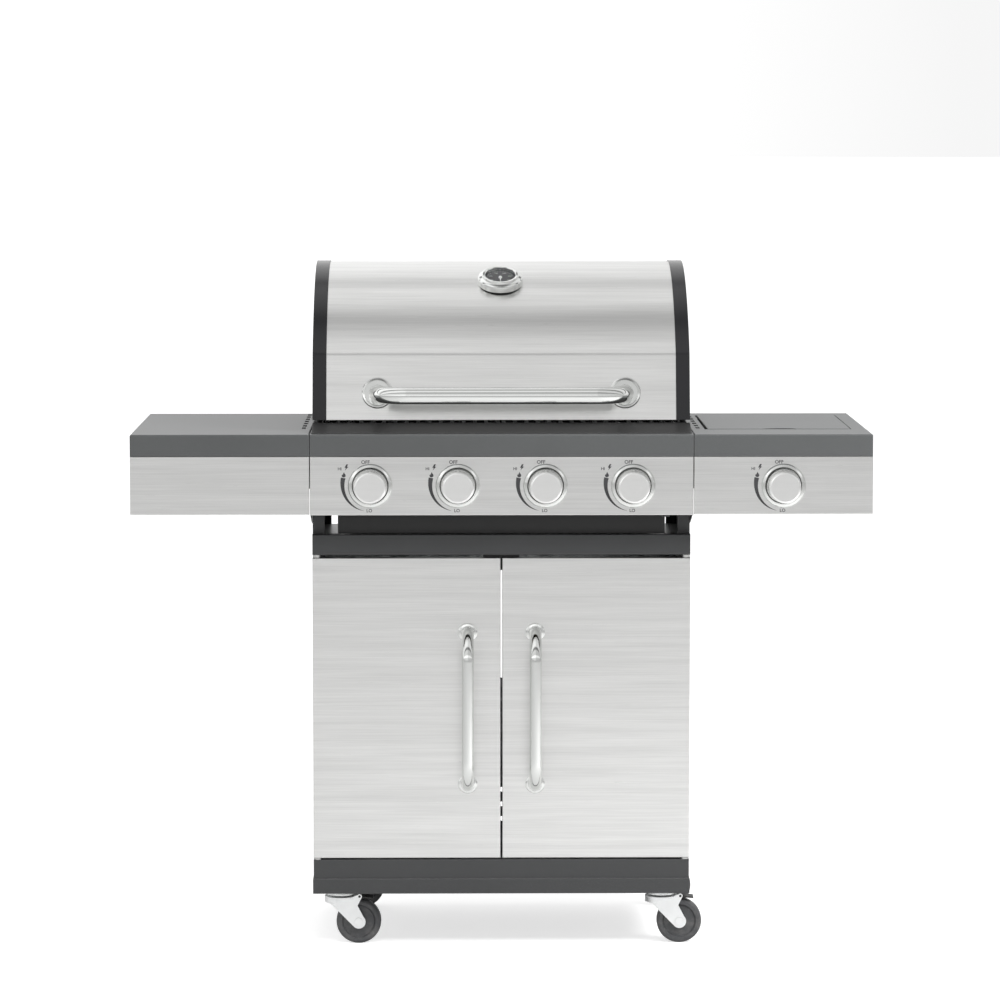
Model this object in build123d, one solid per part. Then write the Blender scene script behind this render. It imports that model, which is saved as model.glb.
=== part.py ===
"""A four-burner gas barbecue grill on a two-door cart, with a side burner, modelled as its separate pieces.

Frame: millimetres, origin on the floor under the middle of the grill, +X to the right of a cook who
stands in front and looks at the grill, +Y from the front to the back, +Z up.
"""
from build123d import *

import math
import os

# ------------------------------------------------------------------------------------ driving sizes
SHEET = 1.2                 # painted steel sheet
SKIN = 1.0                  # brushed stainless skin
RUNNING = 0.1               # radial clearance of a pin in its hole
GAP = 0.3                   # air between neighbours that move apart
SEAM = 1.0                  # gap between the middle body and each side table
CUT = 1.0                   # how far a cutting tool runs past the face it opens

OVERALL_WIDTH = 1220.0
BODY_WIDTH = 630.0          # control panel and its cheeks
CABINET_REVEAL = 2.0        # the cabinet is this much narrower at each side
LID_REVEAL = 2.5            # and the lid this much
TABLE_DEPTH = 465.0         # control panel to the backs of tables and cabinet
KNOB_REACH = 38.0           # furthest point in front of the control panel
LID_OVERHANG = 50.0         # the lid's back behind the cabinet's
LID_SETBACK = 66.0          # the lid's lower edge behind the control panel
DOOR_SETBACK = 50.0         # the doors' faces behind the control panel

WHEEL_DIAMETER = 75.0
SWIVEL_HEIGHT = 21.0        # wheel top to the underside of the cabinet floor
SKIRT_DROP = 4.0            # the base tray's skirt below its floor
SKIRT_HEIGHT = 25.0
TOE_HEIGHT = 32.0           # toe board, from the skirt's top to the base's top
DOOR_HEIGHT = 503.0
DOOR_GAP = 3.0              # under the doors
BEAM_GAP = 5.0              # above them
BEAM_HEIGHT = 34.0
CONTROL_RISE = 37.0         # beam to control panel
CONTROL_HEIGHT = 97.0       # stainless part of the fascia
BAND_HEIGHT = 36.0          # black band above it
LID_RISE = 19.0             # table tops to the lid's lower edge
LID_HEIGHT = 251.0
LID_CREASE_HEIGHT = 108.0   # flat lower front of the lid
LID_LEAN = 23.0             # how far the flat front leans back
LID_RADIUS = 328.0

DOOR_THICKNESS = 18.0
STILE_WIDTH = 20.0          # front and back flanges of the cabinet sides
STILE_GAP = 4.0             # between the doors' backs and those flanges
BURNER_COUNT = 4
BURNER_MARGIN = 27.0        # body left over at each side of the burners' equal shares

# -------------------------------------------------------------------------------- worked-out places
CAP_PROUD = GAP             # the lid's end caps lap over its skin with this much air
CAP_GROW = CAP_PROUD + SHEET
LID_DEPTH_BEHIND = TABLE_DEPTH + LID_OVERHANG
PANEL_Y = -(KNOB_REACH + LID_DEPTH_BEHIND + CAP_GROW) / 2 + KNOB_REACH
DOOR_Y = PANEL_Y + DOOR_SETBACK
BACK_Y = PANEL_Y + TABLE_DEPTH
LID_Y = PANEL_Y + LID_SETBACK
LID_BACK_Y = PANEL_Y + LID_DEPTH_BEHIND
STILE_Y = DOOR_Y + DOOR_THICKNESS + STILE_GAP

HALF_BODY = BODY_WIDTH / 2
HALF_CABINET = HALF_BODY - CABINET_REVEAL
HALF_LID = HALF_BODY - LID_REVEAL
TABLE_INNER = HALF_BODY + SEAM
TABLE_OUTER = OVERALL_WIDTH / 2
TABLE_MIDDLE = (TABLE_INNER + TABLE_OUTER) / 2

CASTER_HEIGHT = WHEEL_DIAMETER + SWIVEL_HEIGHT
SKIRT_BOTTOM = CASTER_HEIGHT - SKIRT_DROP
STEP_Z = SKIRT_BOTTOM + SKIRT_HEIGHT
BASE_TOP = STEP_Z + TOE_HEIGHT
DOOR_BOTTOM = BASE_TOP + DOOR_GAP
DOOR_TOP = DOOR_BOTTOM + DOOR_HEIGHT
BEAM_BOTTOM = DOOR_TOP + BEAM_GAP
BEAM_TOP = BEAM_BOTTOM + BEAM_HEIGHT
CONTROL_BOTTOM = BEAM_TOP + CONTROL_RISE
CONTROL_TOP = CONTROL_BOTTOM + CONTROL_HEIGHT
TABLE_TOP = CONTROL_TOP + BAND_HEIGHT
LID_BOTTOM = TABLE_TOP + LID_RISE
LID_TOP = LID_BOTTOM + LID_HEIGHT
KNOB_Z = (CONTROL_BOTTOM + CONTROL_TOP) / 2
SIDE_TOP = TABLE_TOP - 27.0             # top of the cabinet sides, hidden between firebox and tables
RIM_TOP = LID_BOTTOM - 6.0              # firebox rim, just under the closed lid
FIREBOX_SHOULDER = CONTROL_BOTTOM + 38.0    # where the firebox's straight walls end and its funnel begins
BURNER_PITCH = (BODY_WIDTH - 2 * BURNER_MARGIN) / BURNER_COUNT
BURNER_X = [(i - (BURNER_COUNT - 1) / 2) * BURNER_PITCH for i in range(BURNER_COUNT)]
KNOB_X = BURNER_X + [TABLE_MIDDLE]


def block(x0, x1, y0, y1, z0, z1):
    """A box between two corners."""
    return Pos((x0 + x1) / 2, (y0 + y1) / 2, (z0 + z1) / 2) * Box(abs(x1 - x0), abs(y1 - y0), abs(z1 - z0))


def rod_x(x0, x1, y, z, radius):
    return Pos((x0 + x1) / 2, y, z) * Rot(0, 90, 0) * Cylinder(radius, abs(x1 - x0))


def rod_y(x, y0, y1, z, radius):
    return Pos(x, (y0 + y1) / 2, z) * Rot(90, 0, 0) * Cylinder(radius, abs(y1 - y0))


def rod_z(x, y, z0, z1, radius):
    return Pos(x, y, (z0 + z1) / 2) * Cylinder(radius, abs(z1 - z0))


def mirrored(shape):
    """The same piece on the other side of the grill."""
    return mirror(shape, about=Plane.YZ)


def side_prism(points, x0, x1):
    """A prism along X over an outline given as (y, z) points."""
    face = make_face(Polyline([(0, y, z) for y, z in points], close=True))
    return Pos(min(x0, x1), 0, 0) * extrude(face, amount=abs(x1 - x0), dir=(1, 0, 0))


def front_prism(points, y0, y1):
    """A prism along Y over an outline given as (x, z) points."""
    face = make_face(Polyline([(x, 0, z) for x, z in points], close=True))
    return Pos(0, min(y0, y1), 0) * extrude(face, amount=abs(y1 - y0), dir=(0, 1, 0))


def turned(points):
    """A solid of revolution about the Z axis from (radius, height) points."""
    face = make_face(Polyline([(r, 0, z) for r, z in points], close=True))
    return revolve(face, axis=Axis.Z)


def facing_front(shape, x, y, z):
    """Turns a piece modelled along +Z so that it points at the cook, at x, y, z."""
    return Pos(x, y, z) * Rot(90, 0, 0) * shape


def group(solids):
    """Separate solids that share one node."""
    return Compound(children=[s for item in solids for s in item.solids()])


PIECES = {}


def piece(name, shape):
    PIECES[name] = shape


# ------------------------------------------------------------------------------------------ casters
CASTER_X = HALF_CABINET - 44.0
CASTER_FRONT_Y = DOOR_Y + 50.0
CASTER_REAR_Y = BACK_Y - 45.0
CASTER_TRAIL = 30.0
WHEEL_WIDTH = 24.0
AXLE_RADIUS = 4.0
FORK_PLATE = 2.5
FORK_SIDE = WHEEL_WIDTH / 2 + 2.0        # inner face of each fork leg
FORK_END = 11.5
CROWN_RADIUS = 27.0
CROWN_SKIRT = 10.0
CROWN_TOP = WHEEL_DIAMETER + 5.0        # the fork clears its wheel by the crown below this
CROWN_BOTTOM = CROWN_TOP - FORK_PLATE
PLATE_THICKNESS = 3.0
PLATE_BOTTOM = CASTER_HEIGHT - PLATE_THICKNESS
PLATE_HALF_X = 36.0
PLATE_HALF_Y = 31.0
PLATE_CORNER = 6.0
PLATE_BOLT_X = 26.0
PLATE_BOLT_Y = 20.0
BOLT_RADIUS = 3.0
BOLT_HOLE = BOLT_RADIUS + 0.2
BRAKE_X = 31.5                           # brake pivot behind the swivel axis
BRAKE_Z = WHEEL_DIAMETER + 5.5
BRAKE_PIN = 2.0
BRAKE_BARREL = 3.0
BRAKE_HALF = FORK_SIDE - GAP
BRAKE_EAR = 4.0                          # round end of the fork's ears about the brake pin
PEDAL_REACH = 22.0
SHOE_HALF = 8.0
RACE_TOP = 18.0
RACE_RADIUS = 25.0
KINGPIN_HEAD = 3.5                       # the riveted head is this much wider than the pin
LEG_FRONT = 21.0                         # front edge of a fork leg ahead of the swivel axis
LEG_HEEL = 14.0
AXLE_Z = WHEEL_DIAMETER / 2
AXLE_HEAD = 3.0
NUT_RADIUS = 7.0
NUT_HEIGHT = 4.0
HUB_RADIUS = 9.0
WEB_RADIUS = 25.5
CASTERS = {
    "front_left": (-CASTER_X, CASTER_FRONT_Y),
    "front_right": (CASTER_X, CASTER_FRONT_Y),
    "rear_left": (-CASTER_X, CASTER_REAR_Y),
    "rear_right": (CASTER_X, CASTER_REAR_Y),
}
PLATE_BOLTS = [(dx, dy) for dx in (-PLATE_BOLT_X, PLATE_BOLT_X) for dy in (-PLATE_BOLT_Y, PLATE_BOLT_Y)]


def caster_plate(x, y):
    """Top plate with the fixed race and the riveted kingpin that the fork turns on."""
    plate = block(-PLATE_HALF_X, PLATE_HALF_X, -PLATE_HALF_Y, PLATE_HALF_Y, PLATE_BOTTOM, CASTER_HEIGHT)
    plate = fillet(plate.edges().filter_by(Axis.Z), PLATE_CORNER)
    for dx, dy in PLATE_BOLTS:
        plate -= rod_z(dx, dy, PLATE_BOTTOM - CUT, CASTER_HEIGHT + CUT, BOLT_HOLE)
    r, z = RACE_RADIUS, CROWN_TOP
    race = turned([(0, z + GAP), (r - 6, z + GAP), (r - 1.5, z + 2.4), (r, z + 3.4), (r, z + 5),
                   (RACE_TOP, PLATE_BOTTOM), (0, PLATE_BOTTOM)])
    kingpin = rod_z(0, 0, CROWN_BOTTOM - CUT, CROWN_TOP + CUT, AXLE_RADIUS)
    head_top = CROWN_BOTTOM - GAP
    head = rod_z(0, 0, head_top - FORK_PLATE, head_top, AXLE_RADIUS + KINGPIN_HEAD)
    return Pos(x, y, 0) * (plate + race + kingpin + head)


def caster_fork(x, y, braked):
    """Pressed fork: a round crown, a skirt at its front, and two legs that trail to the axle."""
    crown = rod_z(0, 0, CROWN_BOTTOM, CROWN_TOP, CROWN_RADIUS)
    skirt = rod_z(0, 0, CROWN_TOP - CROWN_SKIRT, CROWN_TOP, CROWN_RADIUS)
    skirt -= rod_z(0, 0, 0, CROWN_BOTTOM, CROWN_RADIUS - FORK_PLATE)
    crown += skirt & block(-2 * CROWN_RADIUS, -SHOE_HALF, -CROWN_RADIUS, CROWN_RADIUS, 0, CROWN_TOP)
    outline = [(-LEG_FRONT, CROWN_TOP - FORK_PLATE / 2), (LEG_FRONT, CROWN_TOP - FORK_PLATE / 2),
               (CASTER_TRAIL + 0.95 * FORK_END, AXLE_Z + 0.26 * FORK_END),
               (CASTER_TRAIL - 0.68 * FORK_END, AXLE_Z - 0.73 * FORK_END),
               (-LEG_HEEL, CROWN_TOP - 1.4 * CROWN_SKIRT), (-LEG_FRONT, CROWN_TOP - CROWN_SKIRT)]
    leg = front_prism(outline, 0, FORK_PLATE) + rod_y(CASTER_TRAIL, 0, FORK_PLATE, AXLE_Z, FORK_END)
    if braked:
        ear = front_prism([(LEG_HEEL, CROWN_BOTTOM), (BRAKE_X, BRAKE_Z + BRAKE_EAR),
                           (BRAKE_X + 0.85 * BRAKE_EAR, BRAKE_Z - BRAKE_EAR / 2),
                           (BRAKE_X - BRAKE_EAR, CROWN_BOTTOM - LEG_HEEL)], 0, FORK_PLATE)
        leg += ear + rod_y(BRAKE_X, 0, FORK_PLATE, BRAKE_Z, BRAKE_EAR)
        leg -= rod_y(BRAKE_X, -CUT, FORK_PLATE + CUT, BRAKE_Z, BRAKE_PIN + RUNNING)
    fork = crown + Pos(0, FORK_SIDE, 0) * leg + Pos(0, -FORK_SIDE - FORK_PLATE, 0) * leg
    fork -= rod_z(0, 0, CROWN_BOTTOM - CUT, CROWN_TOP + CUT, AXLE_RADIUS + RUNNING)
    outside = FORK_SIDE + FORK_PLATE
    fork -= rod_y(CASTER_TRAIL, -outside - CUT, outside + CUT, AXLE_Z, AXLE_RADIUS)
    axle = rod_y(CASTER_TRAIL, -outside, outside + NUT_HEIGHT, AXLE_Z, AXLE_RADIUS)
    head = rod_y(CASTER_TRAIL, -outside - NUT_HEIGHT / 2, -outside, AXLE_Z, AXLE_RADIUS + AXLE_HEAD)
    nut = extrude(RegularPolygon(NUT_RADIUS, 6), amount=NUT_HEIGHT)
    nut = Pos(CASTER_TRAIL, outside + NUT_HEIGHT, AXLE_Z) * Rot(90, 0, 0) * nut
    return Pos(x, y, 0) * group([fork, axle + head + nut])


def caster_wheel(x, y):
    """Moulded wheel with a tread, a dished web and a hub on the fixed axle."""
    r, w = WHEEL_DIAMETER / 2, WHEEL_WIDTH / 2
    bore = AXLE_RADIUS + RUNNING
    half = [(bore, 0), (bore, w + 1.5), (HUB_RADIUS, w + 1.5), (HUB_RADIUS, w - 1), (HUB_RADIUS + 6, w - 3),
            (WEB_RADIUS, w - 3), (WEB_RADIUS + 1.5, w - 1.5), (WEB_RADIUS + 2.5, w), (r - 4.5, w),
            (r - 1.2, w - 2), (r, w - 5), (r, 0)]
    outline = half + [(a, -b) for a, b in reversed(half)][1:-1]
    return Pos(x + CASTER_TRAIL, y, r) * Rot(90, 0, 0) * turned(outline)


def caster_brake(x, y):
    """Stamped pedal between the fork's ears: a barrel on its pin, a toe pad, and a shoe over the tread."""
    barrel = rod_y(BRAKE_X, -BRAKE_HALF, BRAKE_HALF, BRAKE_Z, BRAKE_BARREL)
    pin = rod_y(BRAKE_X, -FORK_SIDE - FORK_PLATE, FORK_SIDE + FORK_PLATE, BRAKE_Z, BRAKE_PIN)
    tip = BRAKE_X + PEDAL_REACH
    pedal = front_prism([(BRAKE_X, BRAKE_Z - 2.5), (BRAKE_X + 4, BRAKE_Z - 3), (tip, BRAKE_Z - 4.5),
                         (tip + 0.5, BRAKE_Z - 2.5), (BRAKE_X + 4, BRAKE_Z - 0.6), (BRAKE_X, BRAKE_Z)],
                        -BRAKE_HALF, BRAKE_HALF)
    shoe = block(BRAKE_X + 4, BRAKE_X + 9, -SHOE_HALF, SHOE_HALF, BRAKE_Z - 5, BRAKE_Z - 2)
    return Pos(x, y, 0) * (barrel + pin + pedal + shoe)


piece("caster_plates", group([caster_plate(x, y) for x, y in CASTERS.values()]))
for spot, (cx, cy) in CASTERS.items():
    braked = spot.startswith("front")
    piece(f"caster_fork_{spot}", caster_fork(cx, cy, braked))
    piece(f"caster_wheel_{spot}", caster_wheel(cx, cy))
    if braked:
        piece(f"caster_brake_{spot}", caster_brake(cx, cy))

# ------------------------------------------------------------------------------- base tray and beam
SKIRT_PROUD = 1.0           # how far the lower skirt stands out past the doors
TOE_SET_BACK = 2.0          # how far the toe board stands behind the doors
HINGE_PIN_RADIUS = 4.0
HINGE_FROM_SIDE = 7.0
HINGE_FROM_FRONT = 8.0
HINGE_X = HALF_CABINET - HINGE_FROM_SIDE
HINGE_Y = DOOR_Y + HINGE_FROM_FRONT
PIN_INTO_DOOR = 9.0
PIN_INTO_FOLD = 4.0         # past the sheet that the pin is riveted in
PIN_SHOULDER = 2.5
SKIRT_CORNER = 1.1
TOE_BACK_LIP = 16.0
BEAM_ROUND = 2.0


def base_tray():
    """Folded floor of the cabinet: a skirt all round, a stepped toe board at the front and a flat floor."""
    x, y0, y1 = HALF_CABINET + SHEET, DOOR_Y - SKIRT_PROUD, BACK_Y + SHEET
    outer = block(-x, x, y0, y1, SKIRT_BOTTOM, STEP_Z)
    inner = block(-x + SHEET, x - SHEET, y0 + SHEET, y1 - SHEET, SKIRT_BOTTOM - CUT, STEP_Z + CUT)
    outer = fillet(outer.edges().filter_by(Axis.Z), SKIRT_CORNER)
    skirt = outer - inner
    floor = block(-x + SHEET, x - SHEET, y0 + SHEET, y1 - SHEET, CASTER_HEIGHT, CASTER_HEIGHT + SHEET)
    toe_y = DOOR_Y + TOE_SET_BACK
    toe = block(-HALF_CABINET, HALF_CABINET, toe_y, toe_y + SHEET, STEP_Z - SHEET, BASE_TOP)
    step = block(-x + SHEET, x - SHEET, y0 + SHEET, toe_y + SHEET, STEP_Z - SHEET, STEP_Z)
    top = block(-HALF_CABINET, HALF_CABINET, toe_y, STILE_Y, BASE_TOP - SHEET, BASE_TOP)
    back_lip = block(-HALF_CABINET, HALF_CABINET, STILE_Y - SHEET, STILE_Y, BASE_TOP - TOE_BACK_LIP, BASE_TOP)
    tray = skirt + floor + toe + step + top + back_lip
    for side in (-1, 1):
        tray -= rod_z(side * HINGE_X, HINGE_Y, BASE_TOP - SHEET - CUT, BASE_TOP + CUT, HINGE_PIN_RADIUS)
    for x, y in CASTERS.values():
        for dx, dy in PLATE_BOLTS:
            tray -= rod_z(x + dx, y + dy, CASTER_HEIGHT - CUT, CASTER_HEIGHT + SHEET + CUT, BOLT_HOLE)
    return tray


def front_beam():
    """Folded channel across the front above the doors, with closed ends."""
    shape = block(-HALF_CABINET, HALF_CABINET, DOOR_Y, STILE_Y, BEAM_BOTTOM, BEAM_TOP)
    shape = fillet(shape.edges().filter_by(Axis.X).group_by(Axis.Y)[0], BEAM_ROUND)
    shape -= block(-HALF_CABINET + SHEET, HALF_CABINET - SHEET, DOOR_Y + SHEET, STILE_Y + CUT,
                   BEAM_BOTTOM + SHEET, BEAM_TOP - SHEET)
    for x in (-HINGE_X, HINGE_X):
        shape -= rod_z(x, HINGE_Y, BEAM_BOTTOM - CUT, BEAM_BOTTOM + SHEET + CUT, HINGE_PIN_RADIUS)
    return shape


def door_pins():
    """A shouldered steel pin at each corner; the doors hang on them."""
    pins = []
    for side in (-1, 1):
        x = side * HINGE_X
        foot = BASE_TOP - SHEET - PIN_INTO_FOLD
        tip = BEAM_BOTTOM + SHEET + PIN_INTO_FOLD
        shoulder = HINGE_PIN_RADIUS + PIN_SHOULDER
        low = rod_z(x, HINGE_Y, foot, DOOR_BOTTOM + PIN_INTO_DOOR, HINGE_PIN_RADIUS)
        low += rod_z(x, HINGE_Y, BASE_TOP, DOOR_BOTTOM - GAP, shoulder)
        high = rod_z(x, HINGE_Y, DOOR_TOP - PIN_INTO_DOOR, tip, HINGE_PIN_RADIUS)
        high += rod_z(x, HINGE_Y, DOOR_TOP + GAP, BEAM_BOTTOM, shoulder)
        pins += [low, high]
    return pins


piece("base_tray", base_tray())
piece("front_beam", front_beam())

# --------------------------------------------------------------------------- cabinet sides and back
TRAY_HALF = HALF_CABINET - 45.0
TRAY_BOTTOM = BEAM_BOTTOM + 11.0
TRAY_DEPTH = 21.0
RUNNER_WIDTH = 14.0                     # how far the runner reaches under the tray
RUNNER_INNER = TRAY_HALF - RUNNER_WIDTH
RUNNER_FRONT = STILE_Y + 40.0
RUNNER_BACK = BACK_Y - 4.0
RUNNER_LIP = 12.5
STILE_TOP = FIREBOX_SHOULDER - 16.0
TABLE_BOLT_Z = SIDE_TOP - 18.0
TABLE_BOLT_Y = (STILE_Y + 60.0, BACK_Y - 60.0)
CHEEK_BACK = PANEL_Y + 92.0             # back edge of the control box's cheeks, bolted to the cabinet sides
CHEEK_BOLT_Y = (STILE_Y + CHEEK_BACK) / 2
CHEEK_BOLT_Z = (STILE_TOP + 18.0, SIDE_TOP - 22.0)
SIDE_BOLTS = [(y, TABLE_BOLT_Z) for y in TABLE_BOLT_Y] + [(CHEEK_BOLT_Y, z) for z in CHEEK_BOLT_Z]


def side_panel():
    """Right cabinet side: a sheet with flanges front and back, and the grease tray's runner."""
    z0 = CASTER_HEIGHT + SHEET
    sheet = block(HALF_CABINET - SHEET, HALF_CABINET, STILE_Y, BACK_Y, z0, SIDE_TOP)
    front = block(HALF_CABINET - STILE_WIDTH, HALF_CABINET, STILE_Y, STILE_Y + SHEET, z0, STILE_TOP)
    back = block(HALF_CABINET - STILE_WIDTH, HALF_CABINET, BACK_Y - SHEET, BACK_Y, z0, SIDE_TOP)
    top = TRAY_BOTTOM - GAP
    runner = block(RUNNER_INNER, HALF_CABINET, RUNNER_FRONT, RUNNER_BACK, top - SHEET, top)
    lip = block(RUNNER_INNER, RUNNER_INNER + SHEET, RUNNER_FRONT, RUNNER_BACK, top - RUNNER_LIP, top)
    panel = sheet + front + back + runner + lip
    for y, z in SIDE_BOLTS:
        panel -= rod_x(HALF_CABINET - SHEET - CUT, HALF_CABINET + CUT, y, z, BOLT_HOLE)
    return panel


REAR_TOP = BEAM_BOTTOM - 12.0
REAR_FOLD = 18.0
WINDOW_HALF = 150.0
WINDOW_HEIGHT = 190.0
WINDOW_FROM_TOP = 60.0
WINDOW_CORNER = 25.0
SLOT_ROWS = 3
SLOT_COLUMNS = 9
SLOT_PITCH = 56.0
SLOT_ROW_PITCH = 26.0
SLOT_FROM_FLOOR = 50.0
SLOT_HALF_LENGTH = 20.0
SLOT_HALF_WIDTH = 4.0


def rear_panel():
    """Back sheet of the cabinet with a wide hose and air opening and rows of air slots."""
    half = HALF_CABINET - SHEET - GAP
    fold_half = HALF_CABINET - STILE_WIDTH - GAP
    outside, inside = BACK_Y - SHEET, BACK_Y - 2 * SHEET
    floor = CASTER_HEIGHT + SHEET
    sheet = block(-half, half, inside, outside, floor, REAR_TOP)
    fold = block(-fold_half, fold_half, BACK_Y - REAR_FOLD, inside, REAR_TOP - SHEET, REAR_TOP)
    window_top = REAR_TOP - WINDOW_FROM_TOP
    window = block(-WINDOW_HALF, WINDOW_HALF, inside - CUT, outside + CUT,
                   window_top - WINDOW_HEIGHT, window_top)
    panel = sheet + fold - fillet(window.edges().filter_by(Axis.Y), WINDOW_CORNER)
    for row in range(SLOT_ROWS):
        for column in range(SLOT_COLUMNS):
            x = (column - (SLOT_COLUMNS - 1) / 2) * SLOT_PITCH
            z = floor + SLOT_FROM_FLOOR + row * SLOT_ROW_PITCH
            slot = block(x - SLOT_HALF_LENGTH, x + SLOT_HALF_LENGTH, inside - CUT, outside + CUT,
                         z - SLOT_HALF_WIDTH, z + SLOT_HALF_WIDTH)
            panel -= fillet(slot.edges().filter_by(Axis.Y), SLOT_HALF_WIDTH - RUNNING)
    return panel


piece("right_side_panel", side_panel())
piece("left_side_panel", mirrored(side_panel()))
piece("rear_panel", rear_panel())

# -------------------------------------------------------------------------------------------- doors
DOOR_CENTRE_GAP = 3.0
DOOR_FLANGE = 14.0
DOOR_HANDLE_X = 56.0
DOOR_HANDLE_Z = (DOOR_BOTTOM + DOOR_TOP) / 2
DOOR_HANDLE_SPAN = 254.0
DOOR_HANDLE_RADIUS = 10.0
DOOR_HANDLE_REACH = 48.0
DOOR_HANDLE_BEND = 42.0
TUBE_WALL = 1.2
ROSE_THICKNESS = 4.0
DOOR_ROSE_RADIUS = 16.0
DOOR_ROUND = 1.6
PRESS_FIT = 0.05            # between parts that are fixed to each other
DOOR_STUD_RADIUS = 3.0
DOOR_STUD_HOLE = DOOR_STUD_RADIUS + 0.2
STUD_PLUG = 3.0             # thickness of the disc that closes the tube, and of the nut
STUD_INTO_TUBE = 6.0


def door():
    """Right door: a folded stainless pan with a return flange round its open back, and holes for its pins."""
    x0, x1 = DOOR_CENTRE_GAP / 2, HALF_CABINET
    y0, y1 = DOOR_Y, DOOR_Y + DOOR_THICKNESS
    pan = block(x0, x1, y0, y1, DOOR_BOTTOM, DOOR_TOP)
    pan = fillet(pan.edges().group_by(Axis.Y)[0], DOOR_ROUND)
    pan -= block(x0 + SKIN, x1 - SKIN, y0 + SKIN, y1 - SKIN, DOOR_BOTTOM + SKIN, DOOR_TOP - SKIN)
    pan -= block(x0 + DOOR_FLANGE, x1 - DOOR_FLANGE, y1 - 2 * SKIN, y1 + SKIN, DOOR_BOTTOM + DOOR_FLANGE,
                 DOOR_TOP - DOOR_FLANGE)
    for z in (DOOR_BOTTOM, DOOR_TOP):
        pan -= rod_z(HINGE_X, HINGE_Y, z - SKIN - CUT, z + SKIN + CUT, HINGE_PIN_RADIUS + RUNNING)
    for end in (-1, 1):
        stud_z = DOOR_HANDLE_Z + end * DOOR_HANDLE_SPAN / 2
        pan -= rod_y(DOOR_HANDLE_X, y0 - CUT, y0 + SKIN + CUT, stud_z, DOOR_STUD_HOLE)
    return pan


def bent_bar(span, reach, bend, radius):
    """A tube handle along Z: two legs that stand out by reach along -Y and bend into the grip."""
    h = span / 2
    path = FilletPolyline((0, 0, -h), (0, -reach, -h), (0, -reach, h), (0, 0, h), radius=bend)
    ring = Circle(radius) - Circle(radius - TUBE_WALL)
    start = Plane(origin=(0, 0, -h), x_dir=(1, 0, 0), z_dir=(0, -1, 0))
    return sweep(start * ring, path=path)


def rose(radius, hole):
    """Round cover plate of a handle leg, its back on z 0."""
    disc = turned([(0, 0), (radius, 0), (radius, 1.2), (radius - 1.5, 2.6), (radius - 4.5, 3.2),
                   (radius - 5, ROSE_THICKNESS), (0, ROSE_THICKNESS)])
    return disc - Pos(0, 0, ROSE_THICKNESS / 2) * Cylinder(hole, ROSE_THICKNESS + 2 * CUT)


def door_handle():
    """Right door's tube handle with a round rose and a screw stud at each end."""
    bar = bent_bar(DOOR_HANDLE_SPAN, DOOR_HANDLE_REACH, DOOR_HANDLE_BEND, DOOR_HANDLE_RADIUS)
    x, y = DOOR_HANDLE_X, DOOR_Y
    parts = [Pos(x, y, DOOR_HANDLE_Z) * bar]
    plug = DOOR_HANDLE_RADIUS - TUBE_WALL - PRESS_FIT
    inside = y + SKIN
    for end in (-1, 1):
        z = DOOR_HANDLE_Z + end * DOOR_HANDLE_SPAN / 2
        parts.append(facing_front(rose(DOOR_ROSE_RADIUS, DOOR_HANDLE_RADIUS + PRESS_FIT), x, y, z))
        stud = rod_y(x, y - STUD_INTO_TUBE, inside + STUD_PLUG, z, DOOR_STUD_RADIUS)
        stud += rod_y(x, inside, inside + STUD_PLUG, z, 2 * DOOR_STUD_RADIUS)
        stud += rod_y(x, y - STUD_INTO_TUBE, y - STUD_INTO_TUBE + STUD_PLUG, z, plug)
        parts.append(stud)
    return group(parts)


piece("right_door", door())
piece("left_door", mirrored(door()))
piece("right_door_handle", door_handle())
piece("left_door_handle", mirrored(door_handle()))

CATCH_HALF = 30.0
CATCH_DROP = 26.0           # below the beam
CATCH_RISE = 20.0           # behind it
MAGNET_INNER = 8.0
MAGNET_OUTER = 26.0
MAGNET_LOW = 11.0           # below the doors' tops
MAGNET_HIGH = 2.0


def door_catch():
    """Bracket under the front beam with two magnets that hold the doors shut."""
    y = DOOR_Y + DOOR_THICKNESS + GAP
    bracket = block(-CATCH_HALF, CATCH_HALF, STILE_Y, STILE_Y + SHEET,
                    BEAM_BOTTOM - CATCH_DROP, BEAM_BOTTOM + CATCH_RISE)
    magnets = [block(side * MAGNET_INNER, side * MAGNET_OUTER, y, STILE_Y,
                     DOOR_TOP - MAGNET_LOW, DOOR_TOP - MAGNET_HIGH) for side in (-1, 1)]
    return group([bracket] + magnets)


piece("door_catch", door_catch())

# ------------------------------------------------------------------------------------------ firebox
FIREBOX_HALF = HALF_CABINET - 15.0
FIREBOX_FRONT = LID_Y + 5.0
FIREBOX_BACK = BACK_Y - 3.0
FIREBOX_MIDDLE = (FIREBOX_FRONT + FIREBOX_BACK) / 2
FUNNEL_HALF = FIREBOX_HALF - 48.0
FUNNEL_BOTTOM = TRAY_BOTTOM + TRAY_DEPTH + 9.0
FUNNEL_INSET = 34.0
DRAIN_HALF = 60.0
RIM_OUT = 10.0
GRATE_TOP = RIM_TOP - 2.0
GRATE_THICKNESS = 11.0
SHELF_WIDTH = 12.0
LEDGE_FRONT = PANEL_Y + 20.0
LEDGE_LOW = TABLE_TOP + 1.0
LEDGE_HIGH = LID_BOTTOM - 5.0
LEDGE_BACK = LID_Y - 2.0
LEDGE_LIP = 12.0
LEDGE_HALF = HALF_BODY - 2 * SHEET
BURNER_Z = KNOB_Z + 22.0
BURNER_RADIUS = 19.0
BURNER_WALL = 1.2
BURNER_FRONT = PANEL_Y + 62.0
BURNER_BACK = FIREBOX_BACK - 30.0
TAMER_HALF = 46.0
TAMER_EAVE = BURNER_Z + BURNER_RADIUS + 4.0
PEG = 6.0                               # pegs on the firebox walls that carry the flame tamers
SHIELD_HALF = HALF_CABINET - 42.0
SHIELD_Y = FIREBOX_FRONT - 10.0
SHIELD_BOTTOM = BEAM_TOP + 1.0
SHIELD_FOLD = 12.0
SHIELD_NOTCH = 40.0


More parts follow.
